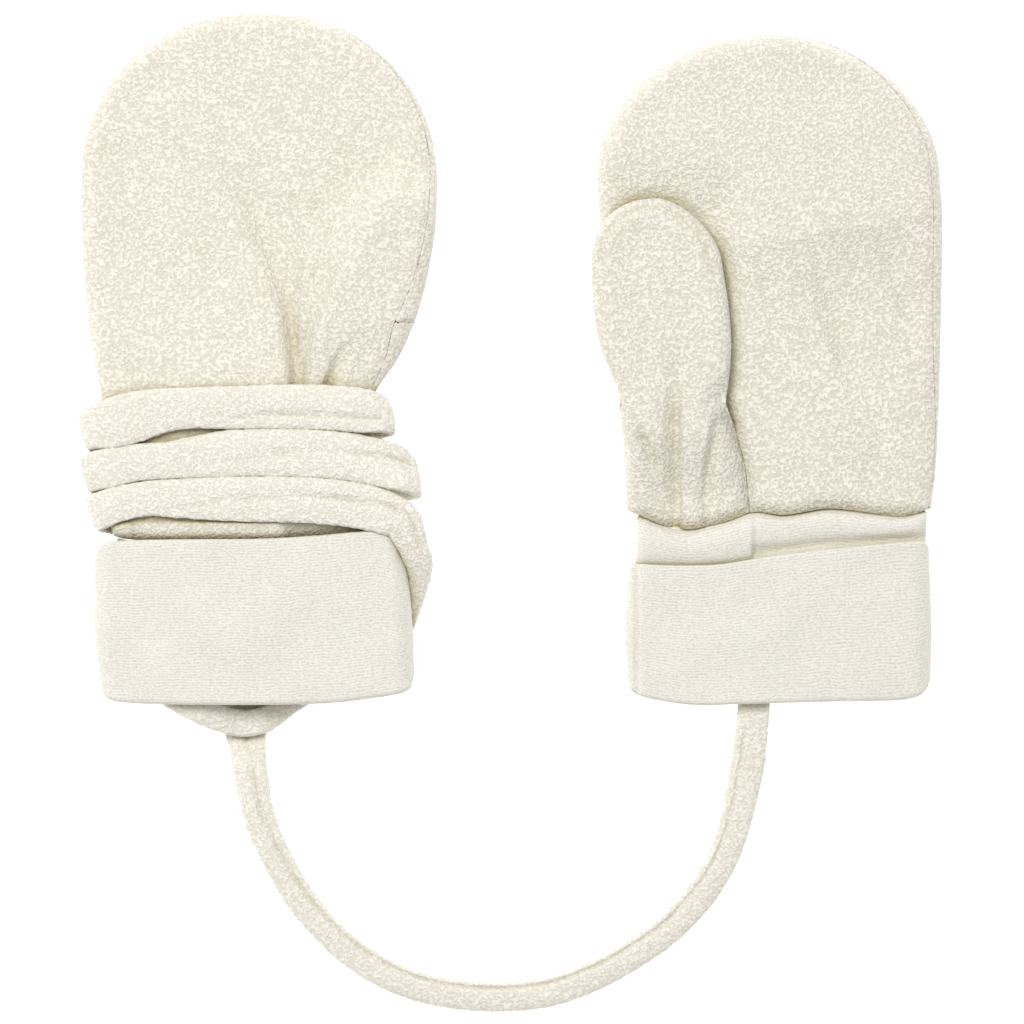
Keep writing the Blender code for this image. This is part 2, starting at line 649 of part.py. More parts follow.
def back_up_mitten(prefix, fleece):
    """The mitten that shows its back: its thumb is underneath, and cord lifts its wrist."""
    side, wrist, outline = hand_frame(BACK_UP_HAND, BACK_UP_WRIST)
    crotch = BACK_UP_CROTCH
    whole_lobe = hidden_thumb(pouch_side(PALM_UP_THUMB, PALM_UP_CROTCH, PALM_UP_CROTCH, 24))
    lobe = [p for p in whole_lobe if p[1] > crotch]

    def wrist_lift(y):
        return WOUND_LIFT * (1.0 - smoothstep(LIFT_END_LOW, LIFT_END_HIGH, y))

    def thumb_height(x, y):
        return 2 * RIM + GAP + (THUMB_THICKNESS - 2 * RIM - GAP) * rounded(distance_to(lobe, x, y), THUMB_ROLL)

    def thumb_lift(x, y):
        depth = distance_to(whole_lobe, x, y) + THUMB_EASE
        if not inside(whole_lobe, x, y):
            depth = 2 * THUMB_EASE - depth
        rim = 2 * RIM + GAP
        rise = rounded(depth, THUMB_ROLL + THUMB_EASE - 1.5)
        return (3 * GAP + rim + (THUMB_THICKNESS - rim) * rise) * smoothstep(-THUMB_DROP, 0.0, depth)

    def floor(x, y):
        return wrist_lift(y)

    def palm_floor(x, y):
        return max(wrist_lift(y), thumb_lift(x, y))

    def thickness(x, y):
        over = smoothstep(0.0, THUMB_ROLL, distance_to(whole_lobe, x, y)) if inside(whole_lobe, x, y) else 0.0
        hand = mix(HAND_THICKNESS, OVER_THUMB_THICKNESS, over)
        return mix(WRIST_THICKNESS_WOUND, hand, smoothstep(LIFT_END_LOW, LIFT_END_HIGH, y))

    def roof(x, y):
        return palm_floor(x, y) + thickness(x, y) - fold_depth(BACK_UP_FOLDS, x, y) * smoothstep(68.0, 76.0, y)

    def seam(x, y):
        return palm_floor(x, y) + thickness(x, y) / 2

    depths = (-0.5, -THUMB_EASE, -THUMB_DROP - THUMB_EASE, 3.0, THUMB_ROLL)
    guides = [p for depth in depths for p in inset(whole_lobe, depth)]
    guides += [p for fold in BACK_UP_FOLDS for p in fold_line(fold)]
    guides += [(x, y) for y in (LIFT_END_LOW, 74.0, 79.0, LIFT_END_HIGH) for x in range(-30, 30, 9)]

    def inner_points(cut, kept):
        found = ring_points(kept, cut)
        edge = cut + cut[:1]
        for p in guides:
            if inside(cut, *p) and distance_to(edge, *p) > 4.0 and all(math.dist(p, q) > 3.0 for q in found):
                found.append(p)
        return found + lattice(cut, found, LATTICE, 5.0)

    lower = lower_cloth(side, palm_floor, seam, FLEECE)
    heights = upper_cloth(side, roof, seam, lower[1], FLEECE)
    panel(prefix + "back", outline, inner_points(outline, side), *heights, BACK_UP_ORIGIN, fleece)

    cut, kept = notched(side, wrist, BACK_UP_SEAM, crotch, True)
    panel(prefix + "palm", cut, inner_points(cut, kept), *lower, BACK_UP_ORIGIN, fleece)

    def thumb_back_low(x, y):
        high = thumb_height(x, y)
        return max(high - THUMB_FLEECE, high / 2 + GAP / 2)

    upper_lobe = [p for p in lobe if p[1] > crotch + 3.0]
    (ax, ay), (bx, by) = upper_lobe[-1], upper_lobe[0]
    shares = (0.04, 0.09, 0.17, 0.34, 0.5, 0.66, 0.83, 0.91, 0.96)
    back_cut = upper_lobe + [(mix(ax, bx, share), mix(ay, by, share)) for share in shares]
    rings = ring_points(upper_lobe, back_cut)
    inner = rings + lattice(back_cut, rings, 7.0, 3.5)
    panel(prefix + "thumb_back", back_cut, inner, thumb_back_low, thumb_height, BACK_UP_ORIGIN, fleece)

    wrist_part = lower_cloth(side, floor, seam, FLEECE)

    def thumb_front_low(x, y):
        return 0.0 if y > crotch - 1.0 else wrist_part[0](x, y)

    def thumb_front_high(x, y):
        if y > crotch - 1.0:
            thick = mix(THUMB_FLEECE_CROTCH, THUMB_FLEECE, smoothstep(crotch + 4.0, crotch + 10.0, y))
            return min(thick, thumb_height(x, y) / 2 - GAP / 2)
        return wrist_part[1](x, y)

    cut, edge = thumb_front_outline(lobe, side, wrist, BACK_UP_SEAM, crotch, True)
    rings = ring_points(edge, cut)
    levels = [(x, y) for y in (LIFT_END_LOW, 74.0, 79.0, LIFT_END_HIGH) for x in range(0, 40, 5)]
    levels = [p for p in levels if inside(cut, *p) and distance_to(cut + cut[:1], *p) > 2.0]
    levels = [p for p in levels if all(math.dist(p, q) > 2.4 for q in rings)]
    inner = rings + levels + lattice(cut, rings + levels, 7.0, 3.5)
    panel(prefix + "thumb_front", cut, inner, thumb_front_low, thumb_front_high, BACK_UP_ORIGIN, fleece)


# ---------------------------------------------------------------- cuffs

FLAT_STEPS = 9
END_ANGLES = (90, 60, 30, 0, -30, -60, -90)


def cuff_ring(left, right, depth, height_at):
    """One ring round a flattened tube, inset by depth from its outer surface."""
    half_height = SLIT_HALF + 2 * JERSEY + GAP - depth
    left, right = left + depth, right - depth
    flat = [mix(left + half_height, right - half_height, k / FLAT_STEPS) for k in range(1, FLAT_STEPS)]
    ring = [(x, half_height) for x in flat]
    for degrees in END_ANGLES:
        angle = math.radians(degrees)
        ring.append((right - half_height * (1.0 - math.cos(angle)), half_height * math.sin(angle)))
    ring += [(x, -half_height) for x in reversed(flat)]
    for degrees in END_ANGLES:
        angle = math.radians(degrees)
        ring.append((left + half_height * (1.0 - math.cos(angle)), -half_height * math.sin(angle)))
    return [(x, height_at(x), z) for x, z in ring]


def cuff(name, sides, hem, top, wrist, wrist_sides, middle, origin, finish):
    """A jersey tube sewn to the wrist, hanging to the cuff's lower edge and turned up outside."""

    def outer(share, depth):
        left, right = column_at(sides, share, 1), column_at(sides, share, 2)
        return cuff_ring(left, right, depth, lambda x: mix(column_at(hem, x), column_at(top, x), share))

    def inner(share, depth):
        left = mix(column_at(sides, share, 1), wrist_sides[0] - JERSEY - GAP, smoothstep(0.5, 1.0, share))
        right = mix(column_at(sides, share, 2), wrist_sides[1] + JERSEY + GAP, smoothstep(0.5, 1.0, share))
        return cuff_ring(left, right, depth, lambda x: mix(column_at(hem, x), column_at(wrist, x) - 2 * GAP, share))

    leg = JERSEY
    slit = JERSEY + GAP
    inside_depth = 2 * JERSEY + GAP
    rings = [outer(share, 0.0) for share in (0.03, 0.35, 0.7, 0.97)]
    rings += [outer(1.0, 0.35), outer(1.0, leg - 0.35)]
    rings += [outer(share, leg) for share in (0.97, 0.7, 0.35, 0.08)]
    rings += [outer(0.06, (leg + slit) / 2)]
    rings += [inner(share, slit) for share in (0.08, 0.4, 0.7, 0.985)]
    rings += [inner(1.0, slit + 0.35), inner(1.0, inside_depth - 0.35)]
    rings += [inner(share, inside_depth) for share in (0.985, 0.7, 0.4, 0.03)]
    rings += [outer(0.0, inside_depth - 0.9), outer(0.0, 0.9)]
    rings = [[(x, y, z + middle) for x, y, z in ring] for ring in rings]
    loft(name, rings, True, origin, finish)


# ---------------------------------------------------------------- cord

CORD_SIDES = 8


def smooth_rows(rows, step):
    """A table of points as a smooth line with rows about one step apart."""
    out = []
    for i in range(len(rows) - 1):
        p0, p1, p2, p3 = rows[max(i - 1, 0)], rows[i], rows[i + 1], rows[min(i + 2, len(rows) - 1)]
        count = max(1, round(math.dist(p1[:3], p2[:3]) / step))
        for k in range(count):
            t = k / count
            out.append(tuple(
                0.5 * (2 * b + (c - a) * t + (2 * a - 5 * b + 4 * c - d) * t**2 + (3 * b - a - 3 * c + d) * t**3)
                for a, b, c, d in zip(p0, p1, p2, p3)
            ))
    return out + [rows[-1]]


def cord_frames(rows):
    """Each row's place, its direction across the cord's width and the one through its thickness."""
    frames = []
    across = None
    for i, row in enumerate(rows):
        before, after = rows[max(i - 1, 0)], rows[min(i + 1, len(rows) - 1)]
        tangent = (Vector(after[:3]) - Vector(before[:3])).normalized()
        level = tangent.cross(Vector((0.0, 0.0, 1.0)))
        if across is None:
            across = level.normalized()
        across = (across - tangent * across.dot(tangent)).normalized()
        if across.dot(level) < 0.0:
            level = -level
        pull = max(0.0, 1.0 - 1.6 * abs(tangent.z)) ** 2
        if pull > 0.0:
            across = across.lerp(level.normalized(), 0.5 * pull).normalized()
        frames.append((Vector(row[:3]), tangent, across.copy(), tangent.cross(across), row[3], row[4]))
    return frames


def fewer(frames, turn, reach):
    """Only the frames needed to follow the bends."""
    kept = [frames[0]]
    for frame in frames[1:-1]:
        far = (frame[0] - kept[-1][0]).length
        if far > reach or (frame[1].angle(kept[-1][1]) > turn and far > 1.2):
            kept.append(frame)
    return kept + [frames[-1]]


def cord(name, rows, origin, finish):
    """A flattened cord along a smooth line."""
    rings = []
    for place, _, across, through, width, thick in fewer(cord_frames(smooth_rows(rows, 0.8)), 0.28, 9.0):
        ring = []
        for k in range(CORD_SIDES):
            c, s = math.cos(2 * math.pi * k / CORD_SIDES), math.sin(2 * math.pi * k / CORD_SIDES)
            side = across * (math.copysign(abs(c) ** 0.6, c) * width / 2)
            ring.append(tuple(place + side + through * (math.copysign(abs(s) ** 0.7, s) * thick / 2)))
        rings.append(ring)
    loft(name, rings, False, origin, finish)


def round_cord(name, route, finish):
    """The stretch of cord that lies free, as a plain round tube on the surface."""
    rows = [(x, y, CORD_RADIUS + 0.05, 0.0, 0.0) for x, y in route]
    line = evenly([row[:3] for row in smooth_rows(rows, 1.0)], 30)
    shape = bpy.data.curves.new(name, "CURVE")
    shape.dimensions = "3D"
    spline = shape.splines.new("POLY")
    spline.points.add(len(line) - 1)
    for point, place in zip(spline.points, line):
        point.co = (*(Vector(place) * MM), 1.0)
    shape.bevel_depth = CORD_RADIUS * MM
    shape.bevel_resolution = 2
    shape.use_fill_caps = True
    shape.materials.append(finish)
    PARTS.objects.link(bpy.data.objects.new(name, shape))


def centre_on_floor():
    """Put the origin under the middle of everything but the free cord."""
    fixed = [o for o in PARTS.objects if o.name != "cord_free"]
    points = [o.location + v.co for o in fixed for v in o.data.vertices]
    middle_x = (min(p.x for p in points) + max(p.x for p in points)) / 2
    middle_y = (min(p.y for p in points) + max(p.y for p in points)) / 2
    for made in PARTS.objects:
        made.location -= Vector((middle_x, middle_y, 0.0))


def build():
    fleece = material("cream_fleece", CREAM, 0.95)
    jersey = material("cream_jersey", CREAM_JERSEY, 0.9)
    palm_up_mitten("palm_up_", fleece)
    back_up_mitten("back_up_", fleece)
    half = SLIT_HALF + 2 * JERSEY + GAP
    cuff("palm_up_cuff", PALM_UP_CUFF_SIDES, PALM_UP_HEM, PALM_UP_CUFF_TOP, PALM_UP_WRIST,
         (-29.6, 34.4), half, PALM_UP_ORIGIN, jersey)
    cuff("back_up_cuff", BACK_UP_CUFF_SIDES, BACK_UP_HEM, BACK_UP_CUFF_TOP, BACK_UP_WRIST,
         (-31.0, 26.4), CUFF_LIFT_WOUND + half, BACK_UP_ORIGIN, jersey)
    cord("cord_wound", CORD_START + CORD_WOUND + CORD_UNDER, BACK_UP_ORIGIN, fleece)
    cord("cord_end", CORD_END, (0.0, 0.0), fleece)
    round_cord("cord_free", CORD_FREE, fleece)
    centre_on_floor()


for old in list(bpy.data.objects):
    bpy.data.objects.remove(old)
PARTS = bpy.data.collections.new("baby_mittens")
bpy.context.scene.collection.children.link(PARTS)
build()
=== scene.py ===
"""A pair of cream fleece baby mittens and their cord, laid flat on white.

Every shape is measured in millimetres and handed to Blender in metres.
Each mitten has its own frame: x across from the middle of its cuff, y up from its cuff's lower edge.
"""

import math

import bpy
import numpy as np
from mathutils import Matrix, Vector, noise
from mathutils.geometry import delaunay_2d_cdt

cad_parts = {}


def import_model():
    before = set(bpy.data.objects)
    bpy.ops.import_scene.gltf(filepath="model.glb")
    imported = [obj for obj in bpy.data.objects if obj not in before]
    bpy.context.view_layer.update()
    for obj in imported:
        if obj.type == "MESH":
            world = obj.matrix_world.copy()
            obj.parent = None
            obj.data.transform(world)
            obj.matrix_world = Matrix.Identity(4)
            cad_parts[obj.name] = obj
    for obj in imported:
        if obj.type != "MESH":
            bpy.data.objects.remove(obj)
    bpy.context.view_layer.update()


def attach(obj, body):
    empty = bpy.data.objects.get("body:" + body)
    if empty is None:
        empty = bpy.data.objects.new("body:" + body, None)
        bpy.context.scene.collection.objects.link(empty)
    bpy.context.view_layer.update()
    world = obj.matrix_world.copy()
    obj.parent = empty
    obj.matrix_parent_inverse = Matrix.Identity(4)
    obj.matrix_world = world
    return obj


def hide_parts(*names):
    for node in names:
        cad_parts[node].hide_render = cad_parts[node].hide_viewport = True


MM = 0.001

# Two neighbouring pieces of cloth lie this far apart.
GAP = 0.3

# Thickness of the cloth, how far in from an edge it curls, and how thin it ends at a seam.
FLEECE = 2.1
THUMB_FLEECE = 2.0
JERSEY = 1.3
EDGE_ROLL = 4.0
RIM = 0.35
THINNING = 3.5

# How thick the hand, the wrist inside the cord, the hand over the hidden thumb, and the thumb lie.
HAND_THICKNESS = 7.0
WRIST_THICKNESS_WOUND = 4.9
OVER_THUMB_THICKNESS = 5.5
THUMB_THICKNESS = 5.2
THUMB_BASE = 7.0

# How far in from its edge the hidden thumb reaches its height, and how the hand over it comes down.
THUMB_ROLL = 9.0
THUMB_DROP = 5.0
THUMB_EASE = 3.0

# How far the cord beneath lifts the wrist and its cuff, and between which heights this ends.
WOUND_LIFT = 5.8
LIFT_END_LOW = 69.0
LIFT_END_HIGH = 84.0
CUFF_LIFT_WOUND = 2.9

# Half the height of a cuff's opening.
SLIT_HALF = 1.6

# The groove of a seam on the upper face, and the line where the lower cloth steps down beside it.
SEAM_GROOVE = 0.2
SEAM_GROOVE_REACH = 0.8
STEP_INSETS = (-0.01, -0.03, -0.8)
STEP_AT = -0.02

# How far the fleece's pile stands off the cloth, and the size of its unevenness.
PILE = 0.16
PILE_SIZE = 0.9

# The middle of each cuff's lower edge in the row frame.
BACK_ORIGIN = (-55.4915, -70.4286)
PALM_ORIGIN = (57.3085, -70.5286)
CORD_ORIGIN = (0.2085, 5.5714)

# How closely the cloth that shows, the cloth beneath it and the hidden thumb's cloth are modelled.
FINE = 0.6
BENEATH = 1.2
COARSE = 1.6

# A measure that lies past every table's end and every edge.
PAST_END = 99.0

# The straight stretches of a pouch's edge, and its arch, are read at this many points.
SIDE_POINTS = 60
ARCH_POINTS = 241
SHELF_POINTS = 40
HIDDEN_SHELF_POINTS = 30


# ---- tables

# A pouch's sides: height above the cuff's lower edge, left edge, right edge.
BACK_HAND = {
    "sides": [
        (36.6, -31.8, 26.8), (41, -32.7, 27.4), (50, -35, 27.4), (60, -34.8, 25.2),
        (68, -34.6, 25.6), (76, -36.1, 30.8), (84, -37.6, 34.4), (92, -38.4, 36.8),
        (104, -39, 38.9), (114, -39.3, 39.4),
    ],
    "shoulder": 114,
    "tip": 152.3,
    "fullness": (2.15, 2.15),
}
PALM_HAND = {
    "sides": [
        (41.5, -31.6, 35), (50, -32.1, 36.2), (65, -33.2, 37), (80, -35, 37.4),
        (100, -36.9, 37.8), (110, -38, 37.7), (116, -38.5, 37.2),
    ],
    "shoulder": 116,
    "tip": 147.8,
    "fullness": (2, 1.95),
}
THUMB = {
    "sides": [
        (60, -32, -7.9), (66, -32.6, -9.9), (72.2, -35, -9.2), (79.4, -37.8, -8.8),
        (87.8, -39.2, -9.4), (97, -39.6, -10.8),
    ],
    "shoulder": 97,
    "tip": 111.3,
    "fullness": (2.2, 1.6),
}

# How far the lower cloth shows past the upper on the right: height, breadth.
BACK_ROLL = [(60, 0), (70, 1.2), (76, 2.8), (82, 4), (93, 2.9), (106, 1.9), (120, 1.4), (140, 0.8),
             (150, 0)]
PALM_ROLL = [(60, 0.6), (84, 1.9), (112, 2.1), (134, 1.8), (145, 0.4), (150, 0)]

# The lower edge of the fleece, where the cuff is sewn on: across, height.
BACK_WRIST = [(-34, 38), (-29, 36.4), (-15, 36.1), (5, 36.2), (18, 36.9), (28, 38.2)]
PALM_WRIST = [(-32, 42.9), (-20, 38.7), (-10, 40.3), (-4, 42.4), (3, 41.8), (13, 43.2), (29, 41.5),
              (35, 43.2)]

# The seam between the thumb's front and the palm, from the wrist to the crotch: height, across.
PALM_SEAM = [(38, -4), (44, -4.8), (52, -5.6), (60, -7.7), (66, -9.9)]
BACK_SEAM = [(35, 2.5), (44, 3), (60, 3.6), (72, 4.6), (84, 6.6)]
PALM_CROTCH = 66.0
BACK_CROTCH = 84.0

# The hidden thumb is the same thumb mirrored, squeezed narrower, turned and moved.
BACK_THUMB_SQUEEZE = 0.70
BACK_THUMB_MIDDLE = 24.7
BACK_THUMB_PIVOT = (22, 70)
BACK_THUMB_TURN = math.radians(-12)
BACK_THUMB_MOVE = (-3.5, 2)

# Folds pressed into the cloth: across, height, depth, breadth on the left, breadth on the right.
# Ridges are the same, raised.
BACK_FOLDS = [
    [(8.4, 60, 2, 2.4, 2), (8.6, 72, 2.6, 2.6, 2), (8, 80, 2.5, 3, 3),
     (6.6, 88, 2.4, 3.4, 6), (4, 97, 2.1, 4, 9), (0.6, 106, 1.6, 4.6, 12),
     (-4, 115, 1.1, 5.4, 14), (-9, 124, 0.6, 6, 14), (-14, 134, 0, 6, 14)],
    [(8.8, 68, 2.2, 2, 2), (9.6, 76, 2.6, 2.4, 2.2), (11.4, 84, 2.6, 3.4, 3),
     (14, 92, 2.3, 6, 3.6), (17.6, 101, 1.9, 9, 4.2), (22, 111, 1.4, 12, 4.8),
     (27, 120, 0.6, 14, 5.4), (32.5, 130, 0, 12, 5)],
    [(15, 60, 1.6, 1.6, 2.2), (15.3, 70, 1.7, 1.6, 2.2), (17.2, 75, 1.2, 1.6, 2.8),
     (20.2, 80.5, 0, 1.6, 3.6)],
]
BACK_RIDGES = [
    [(12.6, 70, 0.3, 2.6, 4), (15.8, 84, 0.8, 4, 14), (19.8, 95, 1.1, 4.2, 18),
     (25.4, 107, 1.1, 5, 18), (30.5, 118, 0.7, 5.6, 16), (35, 129, 0, 6, 12)],
    [(3.4, 68, 0.3, 9, 3.4), (3, 80, 0.6, 12, 4.2), (1, 90, 0.6, 14, 5),
     (-3.4, 101, 0.5, 15, 6), (-9, 112, 0.3, 15, 6), (-14, 122, 0, 15, 6)],
]
PALM_FOLDS = [
    [(9, 95, 0, 5, 4), (12, 88, 0.9, 6, 3), (16, 77, 1, 6, 3),
     (20.5, 65, 0, 5, 4)],
    [(22.5, 104, 0, 4, 4), (26, 96, 0.9, 5, 2.8), (30, 88, 0.9, 5, 2.8),
     (34, 78, 0, 4, 4)],
    [(-2, 60, 0, 3, 3), (-1.6, 52, 0.4, 3, 3), (-2.6, 45, 0.5, 3, 3),
     (-3, 41, 0, 3, 3)],
    [(24, 62, 0, 3, 3), (22.5, 54, 0.4, 3, 3), (22, 47, 0.4, 3, 3),
     (22, 42, 0, 3, 3)],
]
THUMB_FOLDS = [
    [(-20.2, 38, 1, 4.2, 1.2), (-20.5, 50, 1.9, 5, 1.2), (-20.6, 62, 2.2, 4.6, 1.2),
     (-20.9, 69, 1.1, 4, 2), (-21.2, 76, 0, 4, 3)],
    [(-14.6, 40, 0.4, 1.4, 4), (-14.2, 51, 1.4, 1.4, 4), (-12.8, 59, 2, 1.2, 3.6),
     (-11.4, 65, 1.1, 1.6, 2.6), (-10.2, 70.5, 0, 1.4, 1.8)],
    [(-28.9, 61.6, 0, 1, 2.6), (-27.6, 58.4, 1.3, 1, 3.4), (-25.4, 54, 1.3, 1, 3.4),
     (-24.4, 50, 0, 1.2, 3.4)],
]

# A cuff's outer sides from its lower edge (0) to its upper edge (1): share, left, right.
BACK_CUFF_SIDES = [(0, -34.6, 34.4), (0.4, -36, 34), (0.8, -36.1, 32.8), (1, -36, 31)]
PALM_CUFF_SIDES = [(0, -31.6, 35.2), (0.4, -32.3, 35.4), (1, -31.4, 34.8)]

# A cuff's lower and upper edges: across, height.
BACK_HEM = [(-34.5, 4), (-34, 2.4), (-33, 1.3), (-31, 0.7), (-24, 0.2), (0, 0), (16, 0.4), (27, 1.7),
            (31, 2.4), (33, 3.2), (33.9, 4.4), (34.3, 6)]
BACK_CUFF_TOP = [(-36, 32.6), (-35, 34.4), (-33.6, 35.5), (-31, 36), (-21, 36.3), (1, 36.5), (13, 37.2),
                 (26, 38.2), (29, 37.4), (31, 35.6)]
PALM_HEM = [(-31.7, 6), (-31.2, 4), (-30, 2.6), (-26.6, 1.4), (-17, 0), (-7, 0.2), (15, 0.8), (27, 1),
            (32, 1.8), (34.2, 3.4), (35.2, 5.6)]
PALM_CUFF_TOP = [(-32, 30.4), (-30.6, 31.1), (-29, 31), (-20, 30.7), (-12, 30.9), (-4, 32.1), (5, 33.4),
                 (15, 34.5), (33, 36), (35, 35)]

# The cord's route: across, along, height of its middle, width, thickness and, where its seam shows,
# where that lies across its upper face (-1 to 1) and how deep it is (0 to 1).
CORD_WOUND = [
    (-24.5, 13, 7.45, 6.8, 2.4),
    (-22.8, 6.6, 7.45, 6.6, 2.4),
    (-19, 2.4, 7.45, 6.2, 2.4),
    (-13.4, -0.9, 7.3, 6, 2.4),
    (-8, -3.2, 5.2, 6, 2.5),
    (-3.6, -4.2, 4, 6, 2.4),
    (0.4, -3.7, 3.8, 5.8, 2.3),
    (2.8, -2.4, 2, 5.8, 2.3),
    (6, 0.2, 1.35, 6, 2.3),
    (10.2, 3.2, 1.35, 6.8, 2.3),
    (18.4, 6.4, 1.4, 7.8, 2.3),
    (27.2, 12.2, 1.4, 7, 2.4),
    (31.4, 17, 1.6, 5.4, 2.6, 0.5, 0.4),
    (33.6, 21.6, 2.3, 4.6, 2.9, 0.5, 0.4),
    (35.05, 26, 4.7, 4.6, 3.8, 0.5, 0.5),
    (35.55, 29.6, 7.3, 5.5, 4.1, 0.5, 0.5),
    (35.1, 32.2, 9.3, 6.4, 3.9, 0.5, 0.6),
    (34.2, 34.6, 10.3, 6.6, 3.6, 0.5, 0.7),
    (33.2, 37, 11.2, 7.6, 3.2, 0.5, 0.9),
    (31, 40.7, 12.15, 9, 2.8, 0.4, 1),
    (24, 43.4, 12.15, 10, 2.6, 0.25, 1),
    (12, 44.9, 12.15, 10.2, 2.6, 0.15, 1),
    (-3, 45.2, 12.15, 10, 2.6, 0, 0.8),
    (-13, 45.3, 12.15, 9.2, 2.6, -0.35, 0.4),
    (-24, 45.3, 12.15, 7.8, 2.6, -0.8, 0),
    (-30.8, 44, 12.25, 7.8, 2.6),
    (-34.3, 42.7, 11, 8.2, 2.6),
    (-35.8, 42.1, 8.4, 8.2, 2.6),
    (-34.8, 41.7, 5.6, 8.2, 2.6),
    (-31, 41.5, 4.1, 8.2, 2.4),
    (-18, 43, 4.2, 8.6, 2.5),
    (0, 45.4, 4.2, 9, 2.5),
    (18, 47.8, 4.2, 9, 2.5),
    (28.4, 49.1, 4.3, 8.8, 2.5),
    (32.6, 49.5, 5.6, 9.2, 2.6, 0.3, 0.3),
    (34.3, 50, 8.2, 9.6, 2.6, 0.35, 0.6),
    (32.8, 51, 10.8, 10.2, 2.6, 0.35, 0.8),
    (28, 52.8, 12.1, 10.4, 2.6, 0.3, 1),
    (18, 54.7, 12.15, 10.6, 2.6, 0.1, 1),
    (7, 55.3, 12.15, 10.6, 2.6, 0.05, 1),
    (-3, 55.3, 12.15, 10.4, 2.6, -0.3, 0.6),
    (-9.5, 54.8, 12.15, 9.9, 2.6, -0.4, 0.2),
    (-15, 54.2, 12.15, 9, 2.6, -0.5, 0),
    (-20, 53.6, 12.15, 8.2, 2.6),
    (-26, 53.2, 12.15, 8.2, 2.6),
    (-33.4, 51.8, 11.9, 8.8, 2.6),
    (-36.5, 51, 10.4, 8.4, 2.6),
    (-37.3, 50.6, 8.2, 8.4, 2.6),
    (-36.4, 50.5, 6, 8.4, 2.6),
    (-33, 50.9, 4.3, 8.4, 2.5),
    (-20, 53.2, 4.2, 8.8, 2.5),
    (-4, 56.6, 4.2, 9, 2.5),
    (12, 60, 4.2, 9, 2.5),
    (21, 61.9, 4.2, 8.8, 2.5),
    (26.2, 62.7, 5.2, 8.6, 2.6),
    (28.6, 63.2, 8.4, 8.4, 2.6, -0.3, 0.4),
    (27.4, 63.8, 11.4, 8.6, 2.6, -0.35, 0.8),
    (22.8, 64.6, 12.4, 9.8, 2.6, -0.35, 1),
    (15, 65.2, 12.15, 9.9, 2.6, -0.3, 1),
    (4.8, 65.4, 12.15, 9.8, 2.6, -0.35, 1),
    (-6.2, 65.2, 12.15, 9.4, 2.6, -0.45, 0.4),
    (-15, 65.1, 12.15, 9.1, 2.6),
    (-21, 64.5, 12.15, 9.8, 2.6),
    (-27.2, 63.1, 12.15, 11.2, 2.6),
    (-32.6, 61.5, 12.4, 10.8, 2.6),
    (-36.2, 60.7, 11, 9.4, 2.6),
    (-37.6, 60.1, 8.2, 9, 2.6),
    (-37, 59.7, 5.2, 8.8, 2.6),
    (-34, 59.2, 2.6, 8.6, 2.4),
    (-30, 58.2, 1.5, 8.4, 2.4),
    (-24, 56.2, 1.35, 8.4, 2.3),
    (-16.3, 52, 1.35, 8.4, 2.3),
    (-9.9, 44, 1.35, 8.4, 2.3),
    (-5.9, 32, 1.35, 8.4, 2.3),
    (-3.7, 18, 1.35, 8.4, 2.3),
    (-3.1, 8, 1.3, 8.4, 2.2),
]
CORD_FREE = [
    (-58.78, -68.4, 1.3, 8.4, 2.2),
    (-58.75, -72, 1.3, 10.4, 2.2),
    (-58.7, -77, 1.3, 12, 2.2),
    (-58.6, -80.2, 1.3, 10.6, 2.2, -0.05, 0.8),
    (-58.5, -82.6, 1.4, 9, 2.4, -0.05, 1),
    (-58.2, -85.6, 1.7, 8, 3, -0.1, 1),
    (-57.4, -91.6, 2.3, 7.4, 4.2, -0.15, 1),
    (-56.2, -98.1, 2.5, 7, 4.8, -0.2, 1),
    (-54.2, -104.7, 2.6, 6.8, 5, -0.3, 0.9),
    (-50.8, -111.6, 2.6, 6.6, 5, -0.4, 0.9),
    (-46.4, -118.9, 2.6, 6.6, 5, -0.5, 0.9),
    (-40.9, -125.5, 2.6, 6.5, 5, -0.55, 0.9),
    (-35, -130.8, 2.6, 6.5, 5, -0.6, 0.9),
    (-28, -135.2, 2.6, 6.5, 5, -0.6, 0.9),
    (-19.5, -138.5, 2.6, 6.5, 5, -0.6, 0.9),
    (-10.5, -140.1, 2.6, 6.5, 5, -0.6, 0.9),
    (-1, -140.5, 2.6, 6.5, 5, -0.6, 0.9),
    (8.6, -139.3, 2.6, 6.5, 5, -0.6, 0.9),
    (17.5, -136.2, 2.6, 6.5, 5, -0.6, 0.9),
    (26, -131.6, 2.6, 6.5, 5, -0.55, 0.8),
    (34, -126, 2.6, 6.6, 5, -0.5, 0.8),
    (41, -118.8, 2.6, 6.7, 5, -0.5, 0.7),
    (46, -111, 2.6, 6.8, 5, -0.45, 0.7),
    (48.7, -104, 2.6, 7, 5, -0.4, 0.7),
    (50.5, -97, 2.6, 7.2, 4.6, -0.4, 0.6),
    (51.9, -90, 2.9, 7.4, 3.8, -0.4, 0.6),
    (52.8, -83, 3.9, 7.2, 2.8, -0.4, 0.6),
    (53.3, -76.5, 4.5, 7, 2.5),
    (53.6, -68, 4.5, 7, 2.5),
    (53.8, -58, 4.5, 7, 2.5),
]


# ---- arithmetic

def ramp(low, high, value):
    """Smoothly 0 up to low and 1 from high on."""
    share = np.clip((value - low) / (high - low), 0.0, 1.0)
    return share * share * (3.0 - 2.0 * share)


def mix(first, second, share):
    return first + (second - first) * share


def hump(off, reach):
    """1 at no distance, falling off softly over reach."""
    return np.exp(-((off / reach) ** 2))


